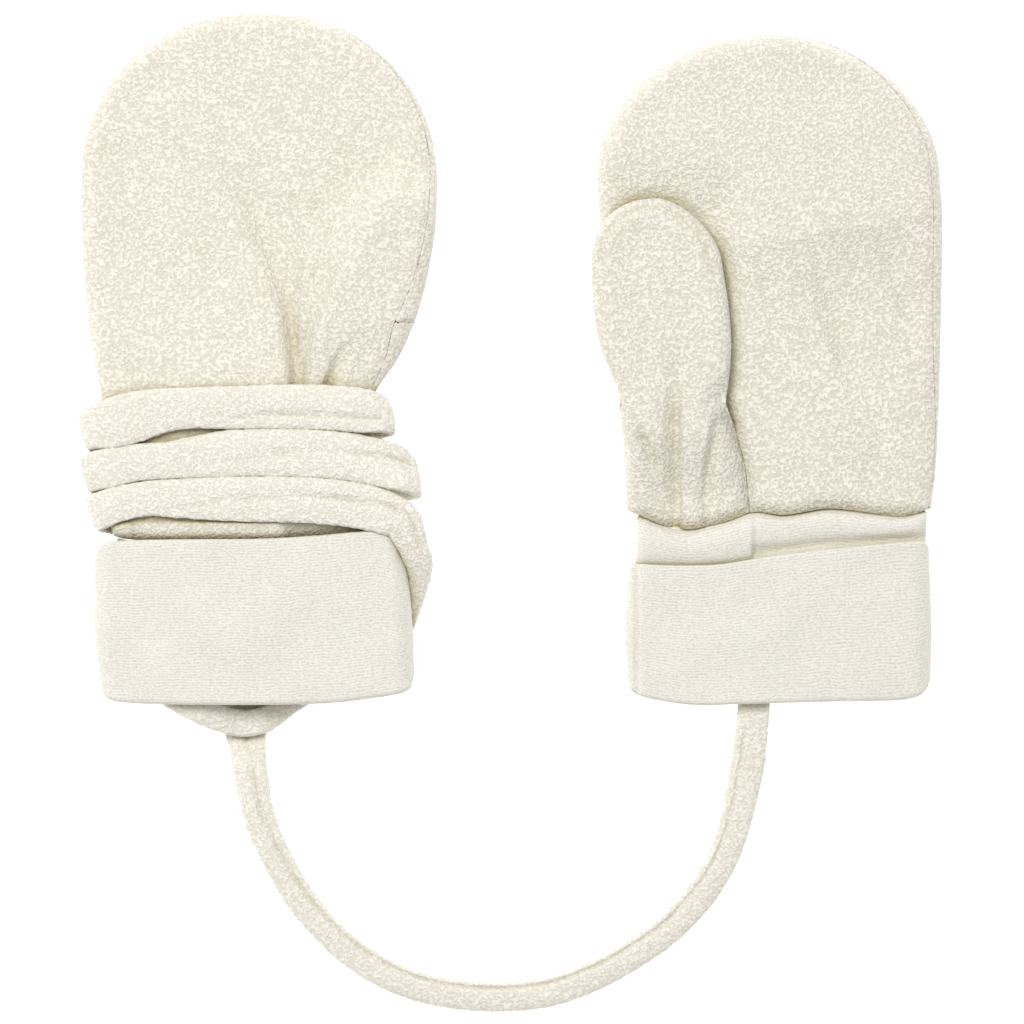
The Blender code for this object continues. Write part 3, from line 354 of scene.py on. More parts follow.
def column_at(rows, values, column=1):
    """A table's column, read smoothly at values of its first column."""
    table = np.array(rows)
    keys, cells = table[:, 0], table[:, column]
    slopes = np.empty(len(keys))
    slopes[1:-1] = (cells[2:] - cells[:-2]) / (keys[2:] - keys[:-2])
    slopes[0] = (cells[1] - cells[0]) / (keys[1] - keys[0])
    slopes[-1] = (cells[-1] - cells[-2]) / (keys[-1] - keys[-2])
    value = np.clip(np.asarray(values, float), keys[0], keys[-1])
    i = np.clip(np.searchsorted(keys, value, side="right") - 1, 0, len(keys) - 2)
    width = keys[i + 1] - keys[i]
    t = (value - keys[i]) / width
    return (
        (2 * t**3 - 3 * t**2 + 1) * cells[i]
        + (t**3 - 2 * t**2 + t) * width * slopes[i]
        + (3 * t**2 - 2 * t**3) * cells[i + 1]
        + (t**3 - t**2) * width * slopes[i + 1]
    )


def reach_along(line):
    """How far along a line each of its points is."""
    return np.concatenate([[0.0], np.cumsum(np.linalg.norm(np.diff(line, axis=0), axis=1))])


def evenly(line, step):
    """The same open line with points about one step apart."""
    line = np.asarray(line, float)
    reach = reach_along(line)
    wanted = np.linspace(0.0, reach[-1], max(2, round(reach[-1] / step) + 1))
    return np.stack([np.interp(wanted, reach, line[:, k]) for k in range(line.shape[1])], axis=1)


def closest(line, points):
    """For each point: its distance to an open line, its side of it, and the place along it."""
    line = np.asarray(line, float)
    best = np.full(len(points), np.inf)
    side = np.zeros(len(points))
    place = np.zeros(len(points))
    for k in range(len(line) - 1):
        a, b = line[k, :2], line[k + 1, :2]
        run = b - a
        share = np.clip(((points - a) @ run) / (run @ run), 0.0, 1.0)
        off = points - a - share[:, None] * run
        far = np.hypot(off[:, 0], off[:, 1])
        near = far < best
        best = np.where(near, far, best)
        side = np.where(near, np.sign(run[0] * off[:, 1] - run[1] * off[:, 0]), side)
        place = np.where(near, k + share, place)
    return best, side, place


def distance_to(line, points):
    return closest(line, points)[0]


def inside(loop, points):
    """Whether each point is inside a closed loop."""
    x, y = points[:, 0], points[:, 1]
    odd = np.zeros(len(points), bool)
    for a, b in zip(loop, np.roll(loop, -1, axis=0)):
        if a[1] != b[1]:
            crosses = (a[1] > y) != (b[1] > y)
            odd ^= crosses & (x < a[0] + (y - a[1]) * (b[0] - a[0]) / (b[1] - a[1]))
    return odd


def rounded(depth, radius):
    """0 at an edge, rising as a quarter circle to 1 at a depth of radius."""
    return np.sqrt(1.0 - (1.0 - np.clip(depth, 0.0, radius) / radius) ** 2)


def inset(line, depth):
    """The points of a line moved to its left by depth."""
    before = np.concatenate([line[:1], line[:-1]])
    after = np.concatenate([line[1:], line[-1:]])
    run = after - before
    run /= np.linalg.norm(run, axis=1)[:, None]
    return line + np.stack([-run[:, 1], run[:, 0]], axis=1) * np.reshape(depth, (-1, 1))


def fold_depth(folds, points):
    """How far folds press the cloth down at each point."""
    total = np.zeros(len(points))
    for fold in folds:
        table = np.array(fold)
        far, side, place = closest(table, points)
        depth, left, right = (np.interp(place, range(len(table)), table[:, c]) for c in (2, 3, 4))
        breadth = np.where(side > 0, left, right)
        total = np.maximum(total, depth * (1.0 - ramp(0.0, breadth, far)))
    return total


# ---- outlines

def pouch_side(pouch, low_right, low_left, step):
    """The edge of a hand or thumb, from its lower right corner over the tip to its lower left."""
    shoulder, tip, rows = pouch["shoulder"], pouch["tip"], pouch["sides"]
    left, right = float(column_at(rows, shoulder, 1)), float(column_at(rows, shoulder, 2))
    middle, half = (left + right) / 2, (right - left) / 2
    full_left, full_right = pouch["fullness"]
    rise = np.linspace(low_right, shoulder, SIDE_POINTS)[:-1]
    angle = np.linspace(0.0, math.pi, ARCH_POINTS)
    power = 2.0 / np.where(angle < math.pi / 2, full_right, full_left)
    across = np.sign(np.cos(angle)) * np.abs(np.cos(angle)) ** power
    fall = np.linspace(shoulder, low_left, SIDE_POINTS)[1:]
    xs = np.concatenate([column_at(rows, rise, 2), middle + half * across, column_at(rows, fall, 1)])
    ys = np.concatenate([rise, shoulder + (tip - shoulder) * np.abs(np.sin(angle)) ** power, fall])
    return evenly(np.stack([xs, ys], axis=1), step)


def hidden_thumb(lobe):
    """The thumb's outline as it lies beneath the mitten that shows its back."""
    turn, pivot, move = BACK_THUMB_TURN, BACK_THUMB_PIVOT, BACK_THUMB_MOVE
    c, s = math.cos(turn), math.sin(turn)
    narrow = BACK_THUMB_MIDDLE + (-lobe[:, 0] - BACK_THUMB_MIDDLE) * BACK_THUMB_SQUEEZE
    dx, dy = narrow - pivot[0], lobe[:, 1] - pivot[1]
    x = pivot[0] + dx * c - dy * s + move[0]
    y = pivot[1] + dx * s + dy * c + move[1]
    return np.stack([x, y], axis=1)[::-1]


def seam_line(rows, wrist_height, crotch, shift, step):
    """The thumb seam from the wrist up to the crotch."""
    heights = np.linspace(wrist_height, crotch, max(3, round((crotch - wrist_height) / step)))
    return np.stack([column_at(rows, heights) + shift, heights], axis=1)


def level_line(start, end, height, count):
    """Points between two places across, at one height, without its ends."""
    return np.stack([np.linspace(start, end, count)[1:-1], np.full(count - 2, height)], axis=1)


# ---- meshes

def new_object(name, vertices, faces, origin, finish, uv=None):
    """A smooth mesh from millimetres in a mitten's own frame, riding with the part."""
    mesh = bpy.data.meshes.new(name)
    placed = (np.asarray(vertices) + np.array([*origin, 0.0])) * MM
    mesh.from_pydata(placed.tolist(), [], faces)
    if uv is not None:
        layer = mesh.uv_layers.new(name="cloth")
        corners = np.empty(len(mesh.loops), int)
        mesh.loops.foreach_get("vertex_index", corners)
        layer.data.foreach_set("uv", uv[corners].ravel())
    mesh.update()
    mesh.shade_smooth()
    mesh.materials.append(finish)
    made = bpy.data.objects.new(name, mesh)
    bpy.context.scene.collection.objects.link(made)
    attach(made, "root")
    return made


def raise_pile(made, amount, size, seed, keep=None):
    """Moves each point along its normal by smooth noise, as pile stands uneven."""
    mesh = made.data
    count = len(mesh.vertices)
    places, normals = np.empty(count * 3), np.empty(count * 3)
    mesh.vertices.foreach_get("co", places)
    mesh.vertices.foreach_get("normal", normals)
    places, normals = places.reshape(-1, 3), normals.reshape(-1, 3)
    shift = Vector((seed, seed, seed))
    grain = np.array([noise.noise(Vector(p) / (size * MM) + shift) for p in places.tolist()])
    if keep is not None:
        grain = grain * keep
    moved = places + normals * (grain * amount * MM)[:, None]
    moved[:, 2] = np.maximum(moved[:, 2], 0.0)
    mesh.vertices.foreach_set("co", moved.ravel())
    mesh.update()


ROLL_ANGLES = (14, 26, 37, 48, 58, 68, 79)
ROW_SPACING = 0.87
RING_CLEAR = 0.85
GRID_CLEAR = 0.88
EDGE_CLEAR = 0.1
LINE_CLEAR = 0.25


def lattice(outline, spacing, keep_off):
    """Points over the inside of an outline, away from its edge."""
    low, high = outline.min(axis=0), outline.max(axis=0)
    rows = np.arange(low[1], high[1], spacing * ROW_SPACING)
    xs = np.arange(low[0], high[0], spacing)
    grid = np.array([(x + spacing * 0.5 * (i % 2), y) for i, y in enumerate(rows) for x in xs])
    grid = grid[inside(outline, grid)]
    return grid[distance_to(looped(outline), grid) > keep_off]


def looped(outline):
    return np.concatenate([outline, outline[:1]])


def inner_points(outline, curled, spacing, lines):
    """Points within an outline: rings where its side curls, the given lines, and a lattice."""
    edge = looped(outline)
    found = []
    for degrees in ROLL_ANGLES:
        depth = EDGE_ROLL * (1.0 - math.cos(math.radians(degrees)))
        ring = inset(curled, depth)
        ring = ring[inside(outline, ring)]
        found.append(ring[distance_to(edge, ring) > RING_CLEAR * depth])
    for line in lines:
        found.append(line[inside(outline, line) & (distance_to(edge, line) > EDGE_CLEAR)])
    grid = lattice(outline, spacing, EDGE_ROLL * GRID_CLEAR)
    for line in lines:
        grid = grid[distance_to(line, grid) > LINE_CLEAR]
    return np.concatenate(found + [grid])


def triangulated(outline, within):
    """The outline and the points within it as points and triangles."""
    flat = [Vector(p) for p in np.concatenate([outline, within]).tolist()]
    loop = list(range(len(outline)))
    points, _, faces = delaunay_2d_cdt(flat, [], [loop], 1, 1e-4)[:3]
    faces = np.array([face for face in faces if len(face) == 3])
    used, faces = np.unique(faces, return_inverse=True)
    return np.array([tuple(p) for p in points])[used], faces.reshape(-1, 3).tolist()


def closed_faces(triangles, count):
    """An upper face, the same face count points further on as a lower one, and the rim between."""
    sides = {}
    for a, b, c in triangles:
        for pair in ((a, b), (b, c), (c, a)):
            sides[pair] = True
    rim = [(a, b) for a, b in sides if (b, a) not in sides]
    faces = list(triangles)
    faces += [(c + count, b + count, a + count) for a, b, c in triangles]
    faces += [(b, a, a + count, b + count) for a, b in rim]
    return faces


def panel(name, outline, curled, heights, spacing, origin, finish, lines=()):
    """Fleece cut to an outline between its upper and lower heights, curling along one side."""
    points, triangles = triangulated(outline, inner_points(outline, curled, spacing, lines))
    count = len(points)
    high, low = heights
    top, bottom = high(points), low(points)
    vertices = np.concatenate([np.column_stack([points, top]), np.column_stack([points, bottom])])
    faces = closed_faces(triangles, count)
    made = new_object(name, vertices, faces, origin, finish)
    depth = distance_to(looped(outline), points)
    keep = np.concatenate([0.2 + 0.8 * ramp(0.0, 2.0, depth), np.zeros(count)])
    raise_pile(made, PILE, PILE_SIZE, len(name), keep)
    return made


def loft(name, rings, closed, origin, finish, uv=None):
    """A solid through rings of points: joined back to its first ring, or capped at both ends."""
    rings = np.asarray(rings)
    count, size = rings.shape[:2]
    base = np.arange(size)
    after = (base + 1) % size
    faces = []
    for r in range(count if closed else count - 1):
        this, that = r * size, (r + 1) % count * size
        faces += np.stack([this + base, this + after, that + after, that + base], axis=1).tolist()
    if not closed:
        faces += [list(range(size))[::-1], [(count - 1) * size + k for k in range(size)]]
    return new_object(name, rings.reshape(-1, 3), faces, origin, finish, uv)


# ---- materials

# Painted shade: hollows are painted olive, as if lit only off other cloth: the colour, how much of it at
# most, and from what openness within what reach.
OLIVE_PAINTED_SHADE = (0.40, 0.34, 0.13, 1.0)
PAINTED_SHADE_MOST = 0.8
PAINTED_SHADE_START = 0.94
PAINTED_SHADE_REACH = 4.0

# Colours of the cloth: its ground and its darker grain.
FLEECE_PALE = (0.96, 0.925, 0.85, 1.0)
FLEECE_DEEP = (0.56, 0.53, 0.42, 1.0)
CORD_PALE = (0.98, 0.955, 0.89, 1.0)
CORD_DEEP = (0.68, 0.65, 0.53, 1.0)
JERSEY_PALE = (0.90, 0.883, 0.826, 1.0)
JERSEY_DEEP = (0.70, 0.68, 0.61, 1.0)

# Sizes of the grain: a curl of the pile, and a course and a loop of the jersey.
FLEECE_CURL = 0.66
CORD_CURL = 0.64
COURSE = 0.64
WALE = 0.50


class Nodes:
    """A short way to add and join shader nodes."""

    def __init__(self, name):
        self.material = bpy.data.materials.new(name)
        self.material.use_nodes = True
        self.tree = self.material.node_tree
        self.shader = self.tree.nodes["Principled BSDF"]

    def add(self, kind, settings=None, **inputs):
        node = self.tree.nodes.new("ShaderNode" + kind)
        for key, value in (settings or {}).items():
            setattr(node, key, value)
        for key, value in inputs.items():
            socket = node.inputs[int(key[1:])] if key[0] == "i" and key[1:].isdigit() else node.inputs[key]
            self.put(socket, value)
        return node

    def put(self, socket, value):
        if isinstance(value, bpy.types.NodeSocket):
            self.tree.links.new(value, socket)
        else:
            socket.default_value = value

    def maths(self, operation, *values):
        inputs = {f"i{k}": value for k, value in enumerate(values)}
        return self.add("Math", {"operation": operation}, **inputs).outputs[0]

    def plus(self, first, second):
        return self.maths("ADD", first, second)

    def minus(self, first, second):
        return self.maths("SUBTRACT", first, second)

    def times(self, first, second):
        return self.maths("MULTIPLY", first, second)

    def falling(self, value, none, full):
        """Smoothly 0 at none and 1 at full."""
        settings = {"interpolation_type": "SMOOTHSTEP"}
        return self.add("MapRange", settings, i0=value, i1=none, i2=full).outputs[0]

    def finish(self, colour, bump, rough, shine, sheen):
        """The material, with its shader's inputs joined and set."""
        self.put(self.shader.inputs["Base Color"], colour)
        self.put(self.shader.inputs["Normal"], bump.outputs["Normal"])
        self.put(self.shader.inputs["Roughness"], rough)
        self.put(self.shader.inputs["Specular IOR Level"], shine)
        self.put(self.shader.inputs["Sheen Weight"], sheen)
        return self.material

    def blend(self, first, second, share):
        node = self.add("Mix", {"data_type": "RGBA"})
        self.put(node.inputs["Factor"], share)
        self.put(node.inputs["A"], first)
        self.put(node.inputs["B"], second)
        return node.outputs["Result"]

    def painted_shade_in_hollows(self, colour, strength):
        """A colour painted olive in hollows as painted shade, where light would reach it only off other
        cloth.
        """
        reach = PAINTED_SHADE_REACH * MM
        # Painted shade: the cloth's ambient occlusion picks where its colour is painted olive.
        open_to = self.add("AmbientOcclusion", {"samples": 6}, Distance=reach).outputs["AO"]
        closed = self.times(self.minus(PAINTED_SHADE_START, open_to), strength)
        share = self.maths("MINIMUM", self.maths("MAXIMUM", closed, 0.0), PAINTED_SHADE_MOST)
        return self.blend(colour, OLIVE_PAINTED_SHADE, share)

    def noise(self, vector, scale, detail=2.0, roughness=0.5, distortion=0.0):
        inputs = {"Vector": vector, "Scale": scale, "Detail": detail}
        inputs |= {"Roughness": roughness, "Distortion": distortion}
        return self.add("TexNoise", **inputs).outputs["Fac"]


def fleece_material(name, pale, deep, curl, hollow):
    """Short curly pile: a pale ground crossed by small darker curls."""
    n = Nodes(name)
    where = n.add("TexCoord").outputs["Object"]
    curls = n.noise(where, 1.0 / (curl * MM), 0.4, 0.5, 0.6)
    flecks = n.falling(curls, 0.68, 0.30)
    fibres = n.noise(where, 2900.0, 2.0, 0.6, 0.3)
    patches = n.noise(where, 90.0, 3.0, 0.6, 0.0)
    tone = n.plus(n.times(flecks, 0.52), n.times(n.minus(patches, 0.3), 0.25))
    height = n.minus(n.times(fibres, 0.3), n.times(flecks, 0.7))
    bump = n.add("Bump", Strength=0.55, Distance=0.45 * MM, Height=height)
    n.put(n.shader.inputs["Sheen Roughness"], 0.5)
    # The fleece's colour carries painted shade, olive in its hollows, as strong as hollow says.
    return n.finish(n.painted_shade_in_hollows(n.blend(pale, deep, tone), hollow), bump, 0.95, 0.1, 0.5)


def jersey_material(name, pale, deep, course, wale):
    """Fine knit: broken level courses of small uneven loops."""
    n = Nodes(name)
    uv = n.add("UVMap", {"uv_map": "cloth"}).outputs["UV"]
    where = n.add("TexCoord").outputs["Object"]
    sway = n.times(n.minus(n.noise(where, 200.0, 3.0), 0.5), 1.4)
    split = n.add("SeparateXYZ", Vector=uv)
    up = n.plus(split.outputs["Y"], sway)
    along = n.plus(split.outputs["X"], sway)
    rows = n.maths("SINE", n.times(up, 2.0 * math.pi / course))
    rows = n.plus(n.times(rows, 0.5), 0.5)
    short = n.maths("DIVIDE", along, 1.5 * wale)
    low = n.maths("DIVIDE", up, 0.75 * wale)
    squashed = n.add("CombineXYZ", X=short, Y=low)
    dashes = n.noise(squashed.outputs[0], 1.0, 2.0, 0.6)
    loops = n.noise(where, 1.0 / (0.9 * wale * MM), 2.0, 0.6, 0.4)
    knit = n.plus(n.times(rows, 0.12), n.times(dashes, 0.55))
    knit = n.plus(knit, n.times(loops, 0.45))
    patches = n.minus(n.noise(where, 70.0, 2.0, 0.5), 0.5)
    dark = n.plus(n.falling(knit, 0.66, 0.40), n.times(patches, 0.5))
    bump = n.add("Bump", Strength=0.5, Distance=0.3 * MM, Height=knit)
    # The jersey's colour carries painted shade, olive in its hollows.
    return n.finish(n.painted_shade_in_hollows(n.blend(pale, deep, dark), 0.9), bump, 0.9, 0.12, 0.3)


# ---- hands

# The palm's upper face: past a slanting line (across, height, rise) it is full towards the fingers,
# its heel fills between two heights, and it sinks beside the thumb except near the tip.
PALM_HOLLOW = 0.8
FINGERS_LINE = (-15.5, 97.4, 0.17)
FINGERS_FULL = 2.6
FINGERS_BEFORE = 19.0
FINGERS_REACH = 21.0
HEEL_FULL = 0.6
HEEL_FROM = 52.0
HEEL_REACH = 50.0
KNOLL = 0.4
KNOLL_AT = (12.0, 107.0)
KNOLL_REACH = 7.0
BESIDE_THUMB = (-14.0, -2.0)
PAST_THUMB = (106.0, 122.0)

# The back's upper face: where the hidden thumb holds it up (across, at two heights), its slope down
# to the tip, the roll at the wrist above the cuff, and the hollow beside that roll.
BACK_SINK = 0.4
HELD_ACROSS = (17.0, 27.0)
HELD_HEIGHTS = (84.0, 112.0)
HELD_SOFT = 8.0
SLOPE_FULL = 3.7
SLOPE_START = (60.0, 70.0)
SLOPE_END = (64.0, 106.0)
FOLDS_START = (66.5, 70.0)
WRIST_ROLL = 2.4
WRIST_ROLL_AT = 38.7
WRIST_ROLL_REACH = 1.2
WRIST_ROLL_LEFT = (-33.4, -31.0)
WRIST_ROLL_RIGHT = (4.0, 7.5)
WRIST_HOLLOW = 1.2
WRIST_HOLLOW_LEFT = (5.0, 8.0)
WRIST_HOLLOW_TOP = (38.5, 40.0)
HEM_SINK = 0.6
HEM_TOP = (36.4, 37.4)

# The thumb on the palm: its stitched edge, and how it meets the palm below the crotch.
STITCH_INSET = 2.2
STITCH_GROOVE = 0.8
STITCH_REACH = 0.55
STITCH_HEIGHTS = (84.0, 98.0)
JOIN_HALF = 0.02
JOIN_LOW = 42.0
JOIN_GROOVE = 0.1
JOIN_REACH = 0.5
JOIN_BREADTH = 7.0

# Where the hidden thumb's front steps down at the crotch.
CROTCH_STEP = 0.02
CROTCH_INSETS = (0.01, 0.03)
CROTCH_CORNER = (0.03, 0.005)
HIDDEN_JOIN_LOW = 36.6

# What is left free at the ends of a wrist's edge.
SEAM_CLEAR = 0.3
JOIN_CLEAR = 0.4


class Hand:
    """A hand's side, its wrist from left to right, its outline and its seam on the upper face."""

    def __init__(self, pouch, wrist_rows, roll_rows):
        low_left = float(column_at(wrist_rows, -PAST_END))
        low_right = float(column_at(wrist_rows, PAST_END))
        self.side = pouch_side(pouch, low_right, low_left, FINE)
        xs = np.linspace(self.side[-1][0], self.side[0][0], round(60 / FINE))[1:-1]
        self.wrist = np.stack([xs, column_at(wrist_rows, xs)], axis=1)
        self.outline = np.concatenate([self.side, self.wrist])
        self.seam_side = self.shown_roll(roll_rows)

    def shown_roll(self, rows):
        """The side, moved in where the lower cloth rolls past it on the right."""
        on_right = np.arange(len(self.side)) <= int(np.argmax(self.side[:, 1]))
        return inset(self.side, np.where(on_right, column_at(rows, self.side[:, 1]), 0.0))

    def hem(self, left, right):
        """The wrist's edge between two places across."""
        return self.wrist[(self.wrist[:, 0] > left) & (self.wrist[:, 0] < right)]

    def seam_lines(self):
        """The lines beside the seam where the lower cloth steps down beneath the upper."""
        return [inset(self.seam_side, depth) for depth in STEP_INSETS]


def hand_layers(hand, roof, floor, seam):
    """Heights of a hand's two cloths: the lower rolls up its side to a seam on the upper face."""
    side, seam_side = hand.side, hand.seam_side
    below = [[seam_side[-1][0], 0.0], [seam_side[0][0], 0.0]]
    within_seam = np.concatenate([seam_side, below])

    def crown_and_groove(points):
        crown = mix(seam(points), roof(points), rounded(distance_to(side, points), EDGE_ROLL))
        groove = SEAM_GROOVE * hump(distance_to(seam_side, points), SEAM_GROOVE_REACH)
        return crown, groove

    def from_seam(points):
        far = distance_to(seam_side, points)
        return np.where(inside(within_seam, points), far, -far)

    def thin(into):
        return RIM + (FLEECE - RIM) * ramp(0.0, THINNING, into)

    def upper_high(points):
        crown, groove = crown_and_groove(points)
        return np.maximum(crown + GAP / 2 + RIM - groove, floor(points) + 2 * GAP + 0.9)

    def upper_low(points):
        thick = thin(from_seam(points))
        return np.maximum(upper_high(points) - thick, lower_high(points) + GAP)

    def lower_high(points):
        into = from_seam(points)
        curl = 1.0 - ramp(0.5 * FLEECE, EDGE_ROLL + FLEECE, distance_to(side, points))
        under = mix(floor(points) + FLEECE, seam(points) - GAP / 2, curl)
        crown, groove = crown_and_groove(points)
        room = crown + GAP / 2 + RIM - thin(into) - GAP - 0.1
        beneath = np.minimum(room, np.maximum(under, 0.0))
        return np.where(into > STEP_AT, beneath, np.maximum(crown + GAP / 2 + RIM - groove, under))

    def lower_low(points):
        curl = 1.0 - rounded(distance_to(side, points), EDGE_ROLL)
        return mix(floor(points), seam(points) - GAP / 2 - RIM, curl)

    return (upper_high, upper_low), (lower_high, lower_low)


# ---- the mitten that shows its palm

def palm_up_roof(points):
    """The palm's upper face."""
    x, y = points[:, 0], points[:, 1]
    line_x, line_y, rise = FINGERS_LINE
    above = y - line_y - rise * (x - line_x)
    fingers = FINGERS_FULL * np.clip((above + FINGERS_BEFORE) / FINGERS_REACH, 0.0, 1.0) ** 2
    full = fingers + HEEL_FULL * np.clip((y - HEEL_FROM) / HEEL_REACH, 0.0, 1.0)
    off_x, off_y = (x - KNOLL_AT[0]) / KNOLL_REACH, (y - KNOLL_AT[1]) / KNOLL_REACH
    knoll = KNOLL * np.exp(-(off_x**2) - off_y**2)
    beside = mix(ramp(*BESIDE_THUMB, x), 1.0, ramp(*PAST_THUMB, y))
    return HAND_THICKNESS - PALM_HOLLOW + (full + knoll) * beside - fold_depth(PALM_FOLDS, points)


def palm_up_floor(points):
    """The surface that the mitten lies on."""
    return np.zeros(len(points))


def palm_up_level(points):
    """The height of the side seam."""
    return np.full(len(points), HAND_THICKNESS / 2)


def palm_up_join(shift):
    """The seam between the thumb's front and the palm, moved across by shift."""
    low_x = float(column_at(PALM_SEAM, JOIN_LOW))
    low_y = float(column_at(PALM_WRIST, low_x))
    return seam_line(PALM_SEAM, low_y, PALM_CROTCH, shift, FINE)


def palm_up_back(hand, lower, fleece):
    back = panel("palm_up_back_cloth", hand.outline, hand.side, lower, BENEATH, PALM_ORIGIN, fleece,
                 hand.seam_lines())
    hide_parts("palm_up_back")


def palm_up_palm(hand, upper, fleece):
    """The palm, whose lower corner on the thumb's side is cut away along the thumb's seam."""
    seam_side = hand.seam_side
    join = palm_up_join(JOIN_HALF)
    on_right = np.arange(len(seam_side)) < int(np.argmax(seam_side[:, 1]))
    kept = seam_side[(seam_side[:, 1] > PALM_CROTCH) | on_right]
    shelf = level_line(kept[-1][0], join[-1][0], PALM_CROTCH, SHELF_POINTS)
    hem = hand.hem(join[0][0] + JOIN_CLEAR, seam_side[0][0] - SEAM_CLEAR)
    cut = np.concatenate([kept, shelf, join[::-1], hem])
    palm = panel("palm_up_palm_cloth", cut, kept, upper, FINE, PALM_ORIGIN, fleece)
    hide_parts("palm_up_palm")


def palm_up_thumb_back_heights(lobe):
    """Heights of the thumb's lower cloth, which curls up at its edge."""
    middle = THUMB_BASE + THUMB_THICKNESS / 2

    def low(points):
        curl = 1.0 - rounded(distance_to(lobe, points), EDGE_ROLL)
        return mix(THUMB_BASE, middle - GAP / 2 - RIM, curl)

    def high(points):
        far = distance_to(lobe, points)
        curl = 1.0 - ramp(0.5 * THUMB_FLEECE, EDGE_ROLL + THUMB_FLEECE, far)
        return mix(THUMB_BASE + THUMB_FLEECE, middle - GAP / 2, curl)

    return high, low


def palm_up_thumb_back(lobe, heights, fleece):
    shelf = level_line(lobe[-1][0], lobe[0][0], PALM_CROTCH, SHELF_POINTS)
    cut = np.concatenate([lobe, shelf])
    thumb_back = panel("palm_up_thumb_back_cloth", cut, lobe, heights, COARSE, PALM_ORIGIN, fleece)
    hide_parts("palm_up_thumb_back")


def palm_up_thumb_heights(lobe, edge, join, back_high, hand_high):
    """Heights of the thumb's upper cloth: over the thumb's back, and lower down over the hand's."""
    crotch = PALM_CROTCH
    middle = THUMB_BASE + THUMB_THICKNESS / 2

    def edge_level(points):
        seam = mix(HAND_THICKNESS / 2, middle, ramp(crotch - 14.0, crotch, points[:, 1]))
        return seam + GAP / 2 + RIM

    def roof(points):
        dip = 0.5 * ramp(3.0, 9.0, distance_to(lobe, points))
        in_lobe = THUMB_BASE + THUMB_THICKNESS + 0.7 - dip
        up = ramp(crotch - 24.0, crotch - 4.0, points[:, 1])
        return mix(HAND_THICKNESS - 0.4, in_lobe, up) - fold_depth(THUMB_FOLDS, points)

    def high(points):
        y = points[:, 1]
        to_join = distance_to(join, points)
        crown = mix(edge_level(points), roof(points), rounded(distance_to(edge, points), EDGE_ROLL))
        at_palm = HAND_THICKNESS - PALM_HOLLOW + GAP / 2 + RIM
        at_join = mix(at_palm, edge_level(points), ramp(crotch - 12.0, crotch - 0.5, y))
        crown = mix(at_join, crown, ramp(0.0, JOIN_BREADTH, to_join))
        stitch = np.abs(distance_to(lobe, points) - STITCH_INSET)
        groove = STITCH_GROOVE * hump(stitch, STITCH_REACH) * ramp(*STITCH_HEIGHTS, y)
        return crown - groove - JOIN_GROOVE * hump(to_join, JOIN_REACH)

    def low(points):
        thick = RIM + (THUMB_FLEECE - RIM) * ramp(0.0, THINNING, distance_to(edge, points))
        beneath = np.where(points[:, 1] > crotch - 0.7, back_high(points), hand_high(points))
        return np.minimum(np.maximum(high(points) - thick, beneath + GAP), high(points) - RIM)

    return high, low


def palm_up_mitten(fleece):
    """The mitten that shows its palm, with its thumb laid on it."""
    crotch = PALM_CROTCH
    hand = Hand(PALM_HAND, PALM_WRIST, PALM_ROLL)
    upper, lower = hand_layers(hand, palm_up_roof, palm_up_floor, palm_up_level)
    palm_up_back(hand, lower, fleece)
    palm_up_palm(hand, upper, fleece)

    lobe = pouch_side(THUMB, crotch, crotch, FINE)
    back_heights = palm_up_thumb_back_heights(lobe)
    palm_up_thumb_back(lobe, back_heights, fleece)

    side = hand.side
    join = palm_up_join(-JOIN_HALF)
    low_side = side[(side[:, 1] < crotch - 1.5) & (np.arange(len(side)) > len(side) / 2)]
    edge = np.concatenate([lobe[1:-1], low_side])
    cut = np.concatenate([hand.hem(-PAST_END, join[0][0] - JOIN_CLEAR), join, edge])
    heights = palm_up_thumb_heights(lobe, edge, join, back_heights[0], lower[0])
    thumb = panel("palm_up_thumb_front_cloth", cut, edge, heights, FINE, PALM_ORIGIN, fleece)
    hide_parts("palm_up_thumb_front")


# ---- the mitten that shows its back

def thumb_lift(whole, points):
    """How far the hidden thumb lifts the hand above it, sloping down past its outline."""
    depth = distance_to(whole, points) + THUMB_EASE
    depth = np.where(inside(whole, points), depth, 2 * THUMB_EASE - depth)
    rim = 1.9
    rise = rounded(depth, THUMB_ROLL + THUMB_EASE - 1.5)
    return (3 * GAP + rim + (THUMB_THICKNESS - rim) * rise) * ramp(-THUMB_DROP, 0.0, depth)


def wrist_shape(points):
    """The roll of fleece above the cuff, less the hollow beside it and the sinking at its hem."""
    x, y = points[:, 0], points[:, 1]
    roll = WRIST_ROLL * hump(y - WRIST_ROLL_AT, WRIST_ROLL_REACH) * ramp(*WRIST_ROLL_LEFT, x)
    roll = roll * (1.0 - ramp(*WRIST_ROLL_RIGHT, x))
    hollow = WRIST_HOLLOW * ramp(*WRIST_HOLLOW_LEFT, x) * (1.0 - ramp(*WRIST_HOLLOW_TOP, y))
    return roll, hollow, HEM_SINK * (1.0 - ramp(*HEM_TOP, y))


